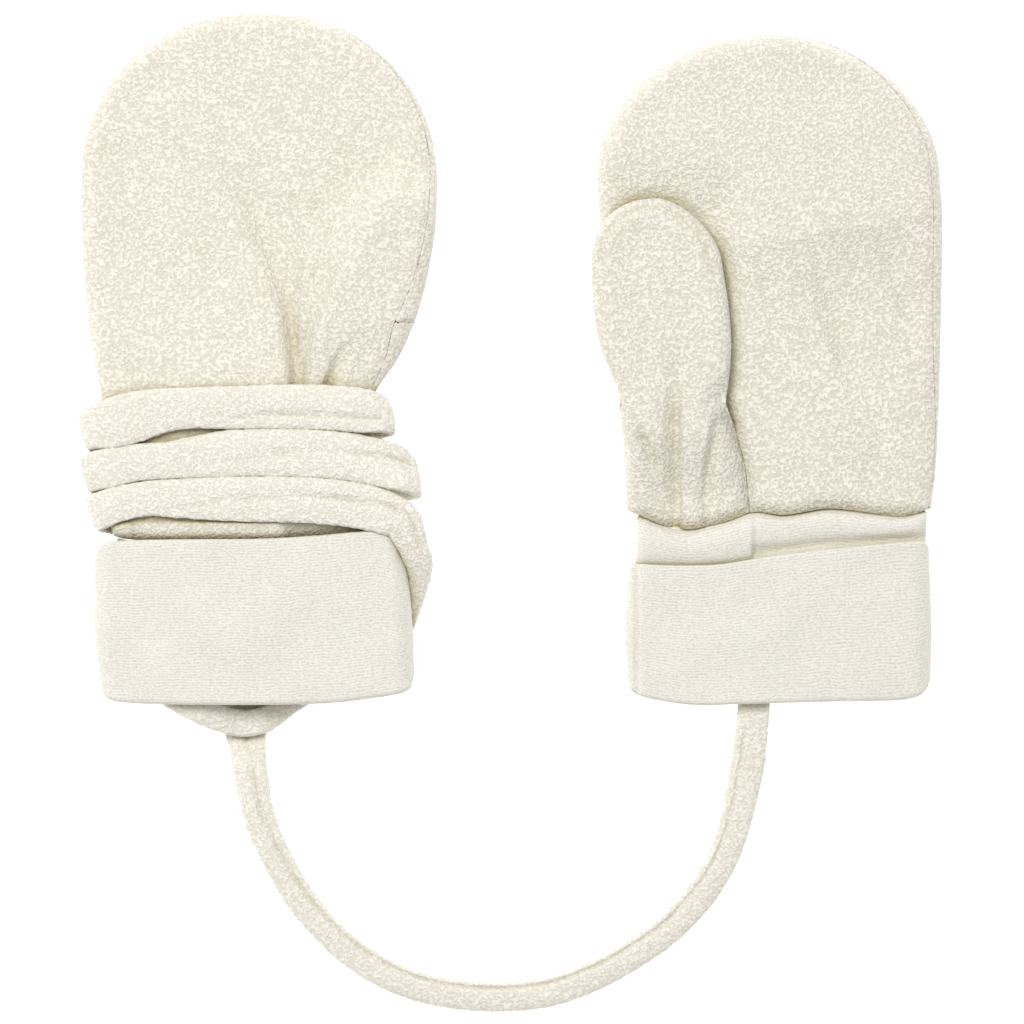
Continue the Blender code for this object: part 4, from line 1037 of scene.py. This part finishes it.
def back_up_heights(whole):
    """The back-up hand's upper face, its underside and the height of its side seam."""

    def floor(points):
        wound = WOUND_LIFT * (1.0 - ramp(LIFT_END_LOW, LIFT_END_HIGH, points[:, 1]))
        return np.maximum(wound, thumb_lift(whole, points))

    def thickness(points):
        over = ramp(0.0, THUMB_ROLL, distance_to(whole, points)) * inside(whole, points)
        hand = mix(HAND_THICKNESS, OVER_THUMB_THICKNESS, over)
        up = ramp(LIFT_END_LOW, LIFT_END_HIGH, points[:, 1])
        return mix(WRIST_THICKNESS_WOUND, hand, up)

    def held(points):
        """The cloth runs level from the thumb's height to the right edge."""
        x, y = points[:, 0], points[:, 1]
        middle = mix(*HELD_ACROSS, ramp(*HELD_HEIGHTS, y))
        pulled = np.column_stack([(x + middle - np.hypot(x - middle, HELD_SOFT)) / 2, y])
        return np.maximum(floor(points) + thickness(points), floor(pulled) + thickness(pulled))

    def roof(points):
        y = points[:, 1]
        slope = SLOPE_FULL * (1.0 - ramp(*SLOPE_END, y)) * ramp(*SLOPE_START, y)
        level = np.maximum(held(points), HAND_THICKNESS + slope)
        shape = fold_depth(BACK_FOLDS, points) - fold_depth(BACK_RIDGES, points)
        roll, hollow, hem = wrist_shape(points)
        return level - shape * ramp(*FOLDS_START, y) - BACK_SINK + roll - hollow - hem

    def seam(points):
        return floor(points) + thickness(points) / 2

    return roof, floor, seam


def back_up_back(hand, upper, fleece):
    seam_side = hand.seam_side
    hem = hand.hem(seam_side[-1][0] + SEAM_CLEAR, seam_side[0][0] - SEAM_CLEAR)
    cut = np.concatenate([seam_side, hem])
    back = panel("back_up_back_cloth", cut, seam_side, upper, FINE, BACK_ORIGIN, fleece)
    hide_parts("back_up_back")


def back_up_palm(hand, lower, corner, fleece):
    """The palm beneath, whose lower corner on the thumb's side is cut away."""
    crotch, side = BACK_CROTCH, hand.side
    join = seam_line(BACK_SEAM, HIDDEN_JOIN_LOW, crotch, -GAP / 2, BENEATH)
    on_left = np.arange(len(side)) > int(np.argmax(side[:, 1]))
    kept = np.concatenate([[[corner, crotch]], side[(side[:, 1] > crotch) | on_left]])
    shelf = level_line(join[-1][0], corner, crotch, HIDDEN_SHELF_POINTS)
    hem = hand.hem(-PAST_END, join[0][0] - JOIN_CLEAR)
    cut = np.concatenate([kept, hem, join, shelf])
    palm = panel("back_up_palm_cloth", cut, kept, lower, BENEATH, BACK_ORIGIN, fleece, hand.seam_lines())
    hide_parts("back_up_palm")


def hidden_thumb_heights(lobe, lower):
    """Heights of the hidden thumb's back above the crotch, and of its front, which joins the hand's side."""
    crotch = BACK_CROTCH

    def top(points):
        rim = 2 * RIM + GAP
        return rim + (THUMB_THICKNESS - rim) * rounded(distance_to(lobe, points), THUMB_ROLL)

    def back_low(points):
        return np.maximum(top(points) - THUMB_FLEECE, top(points) / 2 + GAP / 2)

    def front_high(points):
        in_lobe = np.minimum(THUMB_FLEECE, top(points) / 2 - GAP / 2)
        return np.where(points[:, 1] > crotch - CROTCH_STEP, in_lobe, lower[0](points))

    def front_low(points):
        return np.where(points[:, 1] > crotch - CROTCH_STEP, 0.0, lower[1](points))

    return (top, back_low), (front_high, front_low)


def back_up_thumb_back(lobe, heights, fleece):
    kept = lobe[lobe[:, 1] > BACK_CROTCH + 3.0]
    cut = np.concatenate([kept, np.linspace(kept[-1], kept[0], SHELF_POINTS)[1:-1]])
    thumb_back = panel("back_up_thumb_back_cloth", cut, kept, heights, COARSE, BACK_ORIGIN, fleece)
    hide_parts("back_up_thumb_back")


def back_up_thumb_front(hand, lobe, heights, corner, fleece):
    crotch, side = BACK_CROTCH, hand.side
    join = seam_line(BACK_SEAM, HIDDEN_JOIN_LOW, crotch, GAP / 2, BENEATH)
    low_side = side[(side[:, 1] < crotch - 0.1) & (np.arange(len(side)) < len(side) / 2)]
    low_side = np.concatenate([low_side, [[corner, crotch - off] for off in CROTCH_CORNER]])
    hem = hand.hem(join[0][0] + JOIN_CLEAR, PAST_END)
    cut = np.concatenate([hem, low_side, lobe, join[::-1]])
    edge = np.concatenate([low_side, lobe])
    xs = np.arange(0.0, 40.0, FINE)
    steps = [np.stack([xs, np.full(len(xs), crotch - off)], axis=1) for off in CROTCH_INSETS]
    thumb = panel("back_up_thumb_front_cloth", cut, edge, heights, COARSE, BACK_ORIGIN, fleece,
                  steps + hand.seam_lines())
    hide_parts("back_up_thumb_front")


def back_up_mitten(fleece):
    """The mitten that shows its back, with its thumb beneath it and cord round its wrist."""
    hand = Hand(BACK_HAND, BACK_WRIST, BACK_ROLL)
    whole = hidden_thumb(pouch_side(THUMB, PALM_CROTCH, PALM_CROTCH, BENEATH))
    lobe = whole[whole[:, 1] > BACK_CROTCH]
    upper, lower = hand_layers(hand, *back_up_heights(whole))
    corner = float(column_at(BACK_HAND["sides"], BACK_CROTCH, 2))
    back_heights, front_heights = hidden_thumb_heights(lobe, lower)
    back_up_back(hand, upper, fleece)
    back_up_palm(hand, lower, corner, fleece)
    back_up_thumb_back(lobe, back_heights, fleece)
    back_up_thumb_front(hand, lobe, front_heights, corner, fleece)


# ---- cuffs

CUFF_COLUMNS = 150
CUFF_PILE = 0.06
CUFF_PILE_SIZE = 1.6

# Where the jersey is joined into a tube, and how deep and broad that line is.
TUBE_SEAM_AT = -29.6
TUBE_SEAM_DEPTH = 0.8
TUBE_SEAM_REACH = 0.6

# The jersey between the turn-up and the fleece: a fold on the left, a lower roll on the right.
STRIP_FOLD = 1.5
STRIP_ROLL = 0.9
STRIP_DIP = 0.7
STRIP_TUCK = 1.5
STRIP_FOLD_END = (-4.6, -3.4)


def cuff_ring(left, right, depth, height_at):
    """One ring round a flattened tube, inset by depth, starting in the middle of its underside."""
    half_height = SLIT_HALF + 2 * JERSEY + GAP - depth
    left, right = left + depth, right - depth
    flat = np.linspace(left + half_height, right - half_height, CUFF_COLUMNS)
    angle = np.radians(np.linspace(90.0, -90.0, 37))[1:-1]
    bulge = half_height * np.cos(angle)
    xs = np.concatenate([flat, right - half_height + bulge, flat[::-1], left + half_height - bulge])
    level = np.full(CUFF_COLUMNS, half_height)
    zs = np.concatenate([level, half_height * np.sin(angle), -level, -half_height * np.sin(angle)])
    start = CUFF_COLUMNS + len(angle) + CUFF_COLUMNS // 2
    return np.roll(np.stack([xs, height_at(xs), zs], axis=1), -start, axis=0)


def rumple(ring, size, seed):
    """Soft unevenness of cloth over its length and breadth."""
    places = ring[:, :2].tolist()
    return np.array([noise.noise(Vector((x / size, y / size, seed))) for x, y in places])


def raised(ring, extra):
    """A ring whose upper half stands up unevenly, and by the extra."""
    soft = 0.12 + 0.55 * rumple(ring, 11.0, 2.0) + 0.08 * rumple(ring, 4.0, 5.0)
    ring[:, 2] += (np.maximum(soft, -0.1) + extra) * ramp(0.3, 1.6, ring[:, 2])
    return ring


def cuff_rings(sides, hem, top, wrist, wrist_sides, relief, gap, tuck):
    """Rings from the turn-up's lower edge over its top, up to the wrist, and back inside to the hem.

    The relief gives how far the upper half stands up at each place, outside and inside the turn-up."""
    slit = JERSEY + GAP
    deep = 2 * JERSEY + GAP

    def outer(share, depth):
        left, right = float(column_at(sides, share, 1)), float(column_at(sides, share, 2))
        ring = cuff_ring(left, right, depth, lambda x: mix(column_at(hem, x), column_at(top, x), share))
        return raised(ring, relief[0](ring[:, 0], ring[:, 1]) if depth < 0.5 else 0.0)

    def inner(share, depth, reach=0.0):
        ease = ramp(0.5, 1.0, share)
        left = float(mix(column_at(sides, share, 1), wrist_sides[0] - slit, ease))
        right = float(mix(column_at(sides, share, 2), wrist_sides[1] + slit, ease))

        def height_at(x):
            return mix(column_at(hem, x), column_at(wrist, x) - gap, share)

        ring = cuff_ring(left, right, depth, height_at)
        ring = raised(ring, relief[1](ring[:, 0], ring[:, 1]))
        ring[:, 1] += reach * ramp(-1.0, 0.6, ring[:, 2])
        return ring

    rings = [outer(share, 0.0) for share in np.linspace(0.012, 0.985, 50)]
    rings += [outer(0.995, 0.15), outer(1.0, 0.45), outer(1.0, JERSEY - 0.3)]
    rings += [outer(share, JERSEY) for share in (0.985, 0.9, 0.6, 0.3, 0.08)]
    rings += [outer(0.06, (JERSEY + slit) / 2)]
    rings += [inner(share, slit) for share in (0.08, 0.3, 0.5)]
    rings += [inner(share, slit) for share in np.linspace(0.62, 0.985, 24)]
    rings += [inner(1.0, slit + 0.3), inner(1.0, deep - 0.3, tuck), inner(0.99, deep, tuck)]
    rings += [inner(share, deep) for share in (0.985, 0.7, 0.4, 0.15, 0.02)]
    rings += [outer(0.003, deep - 0.45), outer(0.0, deep - 1.0), outer(0.0, 0.9), outer(0.003, 0.4)]
    return np.array(rings)


def cuff(name, node, rings, middle, origin, finish):
    """A jersey tube sewn to the wrist, hanging to the cuff's lower edge and turned up outside."""
    rings = rings + np.array([0.0, 0.0, middle])
    uv = np.stack(np.meshgrid(reach_along(rings[20]), reach_along(rings[:, 40])), axis=-1).reshape(-1, 2)
    made = loft(name, rings, True, origin, finish, uv)
    raise_pile(made, CUFF_PILE, CUFF_PILE_SIZE, 3.0)
    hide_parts(node)


def plain(x, y):
    """No relief of its own."""
    return np.zeros(len(x))


def side_seam(x, y):
    """The line where the jersey is joined into a tube."""
    return -TUBE_SEAM_DEPTH * hump(x - TUBE_SEAM_AT, TUBE_SEAM_REACH)


def strip_roll(x, y):
    """The jersey between the turn-up and the fleece, tucked under at both."""
    low, high = column_at(PALM_CUFF_TOP, x), column_at(PALM_WRIST, x)
    share = np.clip((y - low) / (high - low), 0.0, 1.0)
    fold = STRIP_FOLD * np.sin(math.pi * share) ** 0.6
    roll = STRIP_ROLL * np.sin(math.pi * np.clip((share - 0.22) / 0.78, 0.0, 1.0)) ** 0.7
    dip = STRIP_DIP * hump(share - 0.1, 0.14)
    left = 1.0 - ramp(*STRIP_FOLD_END, x)
    tucked = STRIP_TUCK * ramp(0.78, 1.0, share)
    return (mix(roll - dip, fold, left) - tucked) * ramp(0.0, 0.02, share)


def cuffs(jersey):
    half = SLIT_HALF + 2 * JERSEY + GAP
    rings = cuff_rings(PALM_CUFF_SIDES, PALM_HEM, PALM_CUFF_TOP, PALM_WRIST, (-29.6, 34.4),
                       (side_seam, strip_roll), 0.3, 0.9)
    cuff("palm_up_cuff_cloth", "palm_up_cuff", rings, half, PALM_ORIGIN, jersey)
    rings = cuff_rings(BACK_CUFF_SIDES, BACK_HEM, BACK_CUFF_TOP, BACK_WRIST, (-31.0, 26.4),
                       (plain, plain), 0.2, 0.0)
    cuff("back_up_cuff_cloth", "back_up_cuff", rings, CUFF_LIFT_WOUND + half, BACK_ORIGIN, jersey)


# ---- cord

CORD_SIDES = 48

# How square the cord's section is across and through, and how broad and deep its seam.
CORD_FLATNESS = 0.8
CORD_BOXINESS = 0.5
CORD_SEAM_REACH = 0.42
CORD_SEAM_DEPTH = 2.0
WOUND_STEP = 0.9
FREE_STEP = 0.8
WOUND_PILE = 0.22
FREE_PILE = 0.26


def smooth_rows(rows, step):
    """The cord's table as a smooth line with rows about one step apart."""
    rows = np.array([(*row, 0.0, 0.0)[:7] for row in rows])
    padded = np.concatenate([rows[:1], rows, rows[-1:]])
    out = []
    for a, b, c, d in zip(padded, padded[1:], padded[2:], padded[3:]):
        count = max(1, round(np.linalg.norm((c - b)[:3]) / step))
        t = np.linspace(0.0, 1.0, count, endpoint=False)[:, None]
        square, cube = 2 * a - 5 * b + 4 * c - d, 3 * b - a - 3 * c + d
        out.append(0.5 * (2 * b + (c - a) * t + square * t**2 + cube * t**3))
    return np.concatenate(out + [rows[-1:]])


def turned(across, tangent):
    """The direction across the cord, carried along it and turned level where the cord lies flat."""
    level = tangent.cross(Vector((0.0, 0.0, 1.0)))
    if across is None:
        across = level.normalized()
    across = (across - tangent * across.dot(tangent)).normalized()
    if across.dot(level) < 0.0:
        level = -level
    pull = max(0.0, 1.0 - 1.6 * abs(tangent.z)) ** 2
    if pull > 0.0:
        across = across.lerp(level.normalized(), 0.5 * pull).normalized()
    return across


def cord_rings(rows):
    """Rings round a flattened cord, with its seam pressed in as a groove."""
    angle = np.linspace(0.0, 2 * math.pi, CORD_SIDES, endpoint=False)
    flat = np.sign(np.cos(angle)) * np.abs(np.cos(angle)) ** CORD_FLATNESS
    tall = np.sign(np.sin(angle)) * np.abs(np.sin(angle)) ** CORD_BOXINESS
    rings = []
    across = None
    for i, row in enumerate(rows):
        before, after = rows[max(i - 1, 0)], rows[min(i + 1, len(rows) - 1)]
        tangent = Vector(after[:3] - before[:3]).normalized()
        across = turned(across, tangent)
        through = tangent.cross(across)
        outward = -1.0 if through.z < 0.0 and abs(tangent.z) < 0.5 else 1.0
        width, thick, seam, deep = row[3:7]
        face = np.where(tall * outward > 0.2, 1.0, 0.0)
        groove = CORD_SEAM_DEPTH * deep * hump((flat - seam) * width / 2, CORD_SEAM_REACH) * face
        sideways = np.outer(flat * width / 2, across)
        rings.append(row[:3] + sideways + np.outer(tall * (thick / 2 - 0.5 * groove), through))
    return np.array(rings)


def cords(fleece):
    """The cord held round the wrist, and the stretch that runs free to the other cuff."""
    rows = smooth_rows(CORD_WOUND, WOUND_STEP)
    wound = loft("cord_wound_cloth", cord_rings(rows), False, BACK_ORIGIN, fleece)
    raise_pile(wound, WOUND_PILE, PILE_SIZE, 5.0)
    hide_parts("cord_wound")
    rows = smooth_rows(CORD_FREE, FREE_STEP)
    free = loft("cord_free_cloth", cord_rings(rows), False, CORD_ORIGIN, fleece)
    raise_pile(free, FREE_PILE, PILE_SIZE, 7.0)
    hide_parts("cord_free", "cord_end")


# ---- stage

FLOOR_REACH = 3.0
FLOOR_DROP = 0.0002
FLOOR_WHITE = (0.9, 0.9, 0.9, 1.0)
FLOOR_GLOW = 0.75
ROOM_COLOUR = (1.0, 0.99, 0.97, 1.0)
ROOM_STRENGTH = 0.49
LAMP_COLOUR = (1.0, 0.98, 0.95)
LAMP_SIZE = 0.6
LAMP_ENERGY = 12.0
LAMP_AT = (-0.3, 0.5, 1.2)
CAMERA_AT = (0.00035, -0.0281, 2.0)
SENSOR_MM = 36.0

# The camera takes in this breadth at this height.
VIEW_BREADTH = 0.2253
VIEW_LEVEL = 0.006


def white_floor():
    mesh = bpy.data.meshes.new("floor")
    low, high = -FLOOR_REACH, FLOOR_REACH
    corners = [(x, y, -FLOOR_DROP) for x, y in ((low, low), (high, low), (high, high), (low, high))]
    mesh.from_pydata(corners, [], [(0, 1, 2, 3)])
    white = Nodes("white_surface")
    white.put(white.shader.inputs["Base Color"], FLOOR_WHITE)
    white.put(white.shader.inputs["Roughness"], 1.0)
    white.put(white.shader.inputs["Emission Color"], (1.0, 1.0, 1.0, 1.0))
    white.put(white.shader.inputs["Emission Strength"], FLOOR_GLOW)
    mesh.materials.append(white.material)
    floor = bpy.data.objects.new("floor", mesh)
    bpy.context.scene.collection.objects.link(floor)


def soft_light():
    """Light from all round, and a little more from the upper left."""
    world = bpy.data.worlds.new("soft_room")
    bpy.context.scene.world = world
    world.use_nodes = True
    background = world.node_tree.nodes["Background"]
    background.inputs["Color"].default_value = ROOM_COLOUR
    background.inputs["Strength"].default_value = ROOM_STRENGTH

    lamp = bpy.data.lights.new("key", "AREA")
    lamp.size = LAMP_SIZE
    lamp.energy = LAMP_ENERGY
    lamp.color = LAMP_COLOUR
    key = bpy.data.objects.new("key", lamp)
    key.location = LAMP_AT
    key.rotation_euler = key.location.to_track_quat("Z", "Y").to_euler()
    bpy.context.scene.collection.objects.link(key)


def camera_above():
    lens = bpy.data.cameras.new("camera")
    lens.sensor_width = SENSOR_MM
    lens.lens = SENSOR_MM * (CAMERA_AT[2] - VIEW_LEVEL) / VIEW_BREADTH
    camera = bpy.data.objects.new("camera", lens)
    camera.location = CAMERA_AT
    bpy.context.scene.collection.objects.link(camera)
    bpy.context.scene.camera = camera
    bpy.context.scene.view_settings.view_transform = "Standard"
    bpy.context.scene.view_settings.look = "None"


def main():
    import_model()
    white_floor()
    soft_light()
    camera_above()
    fleece = fleece_material("fleece", FLEECE_PALE, FLEECE_DEEP, FLEECE_CURL, 1.2)
    cord_fleece = fleece_material("cord_fleece", CORD_PALE, CORD_DEEP, CORD_CURL, 0.7)
    jersey = jersey_material("jersey", JERSEY_PALE, JERSEY_DEEP, COURSE, WALE)
    palm_up_mitten(fleece)
    back_up_mitten(fleece)
    cuffs(jersey)
    cords(cord_fleece)


main()
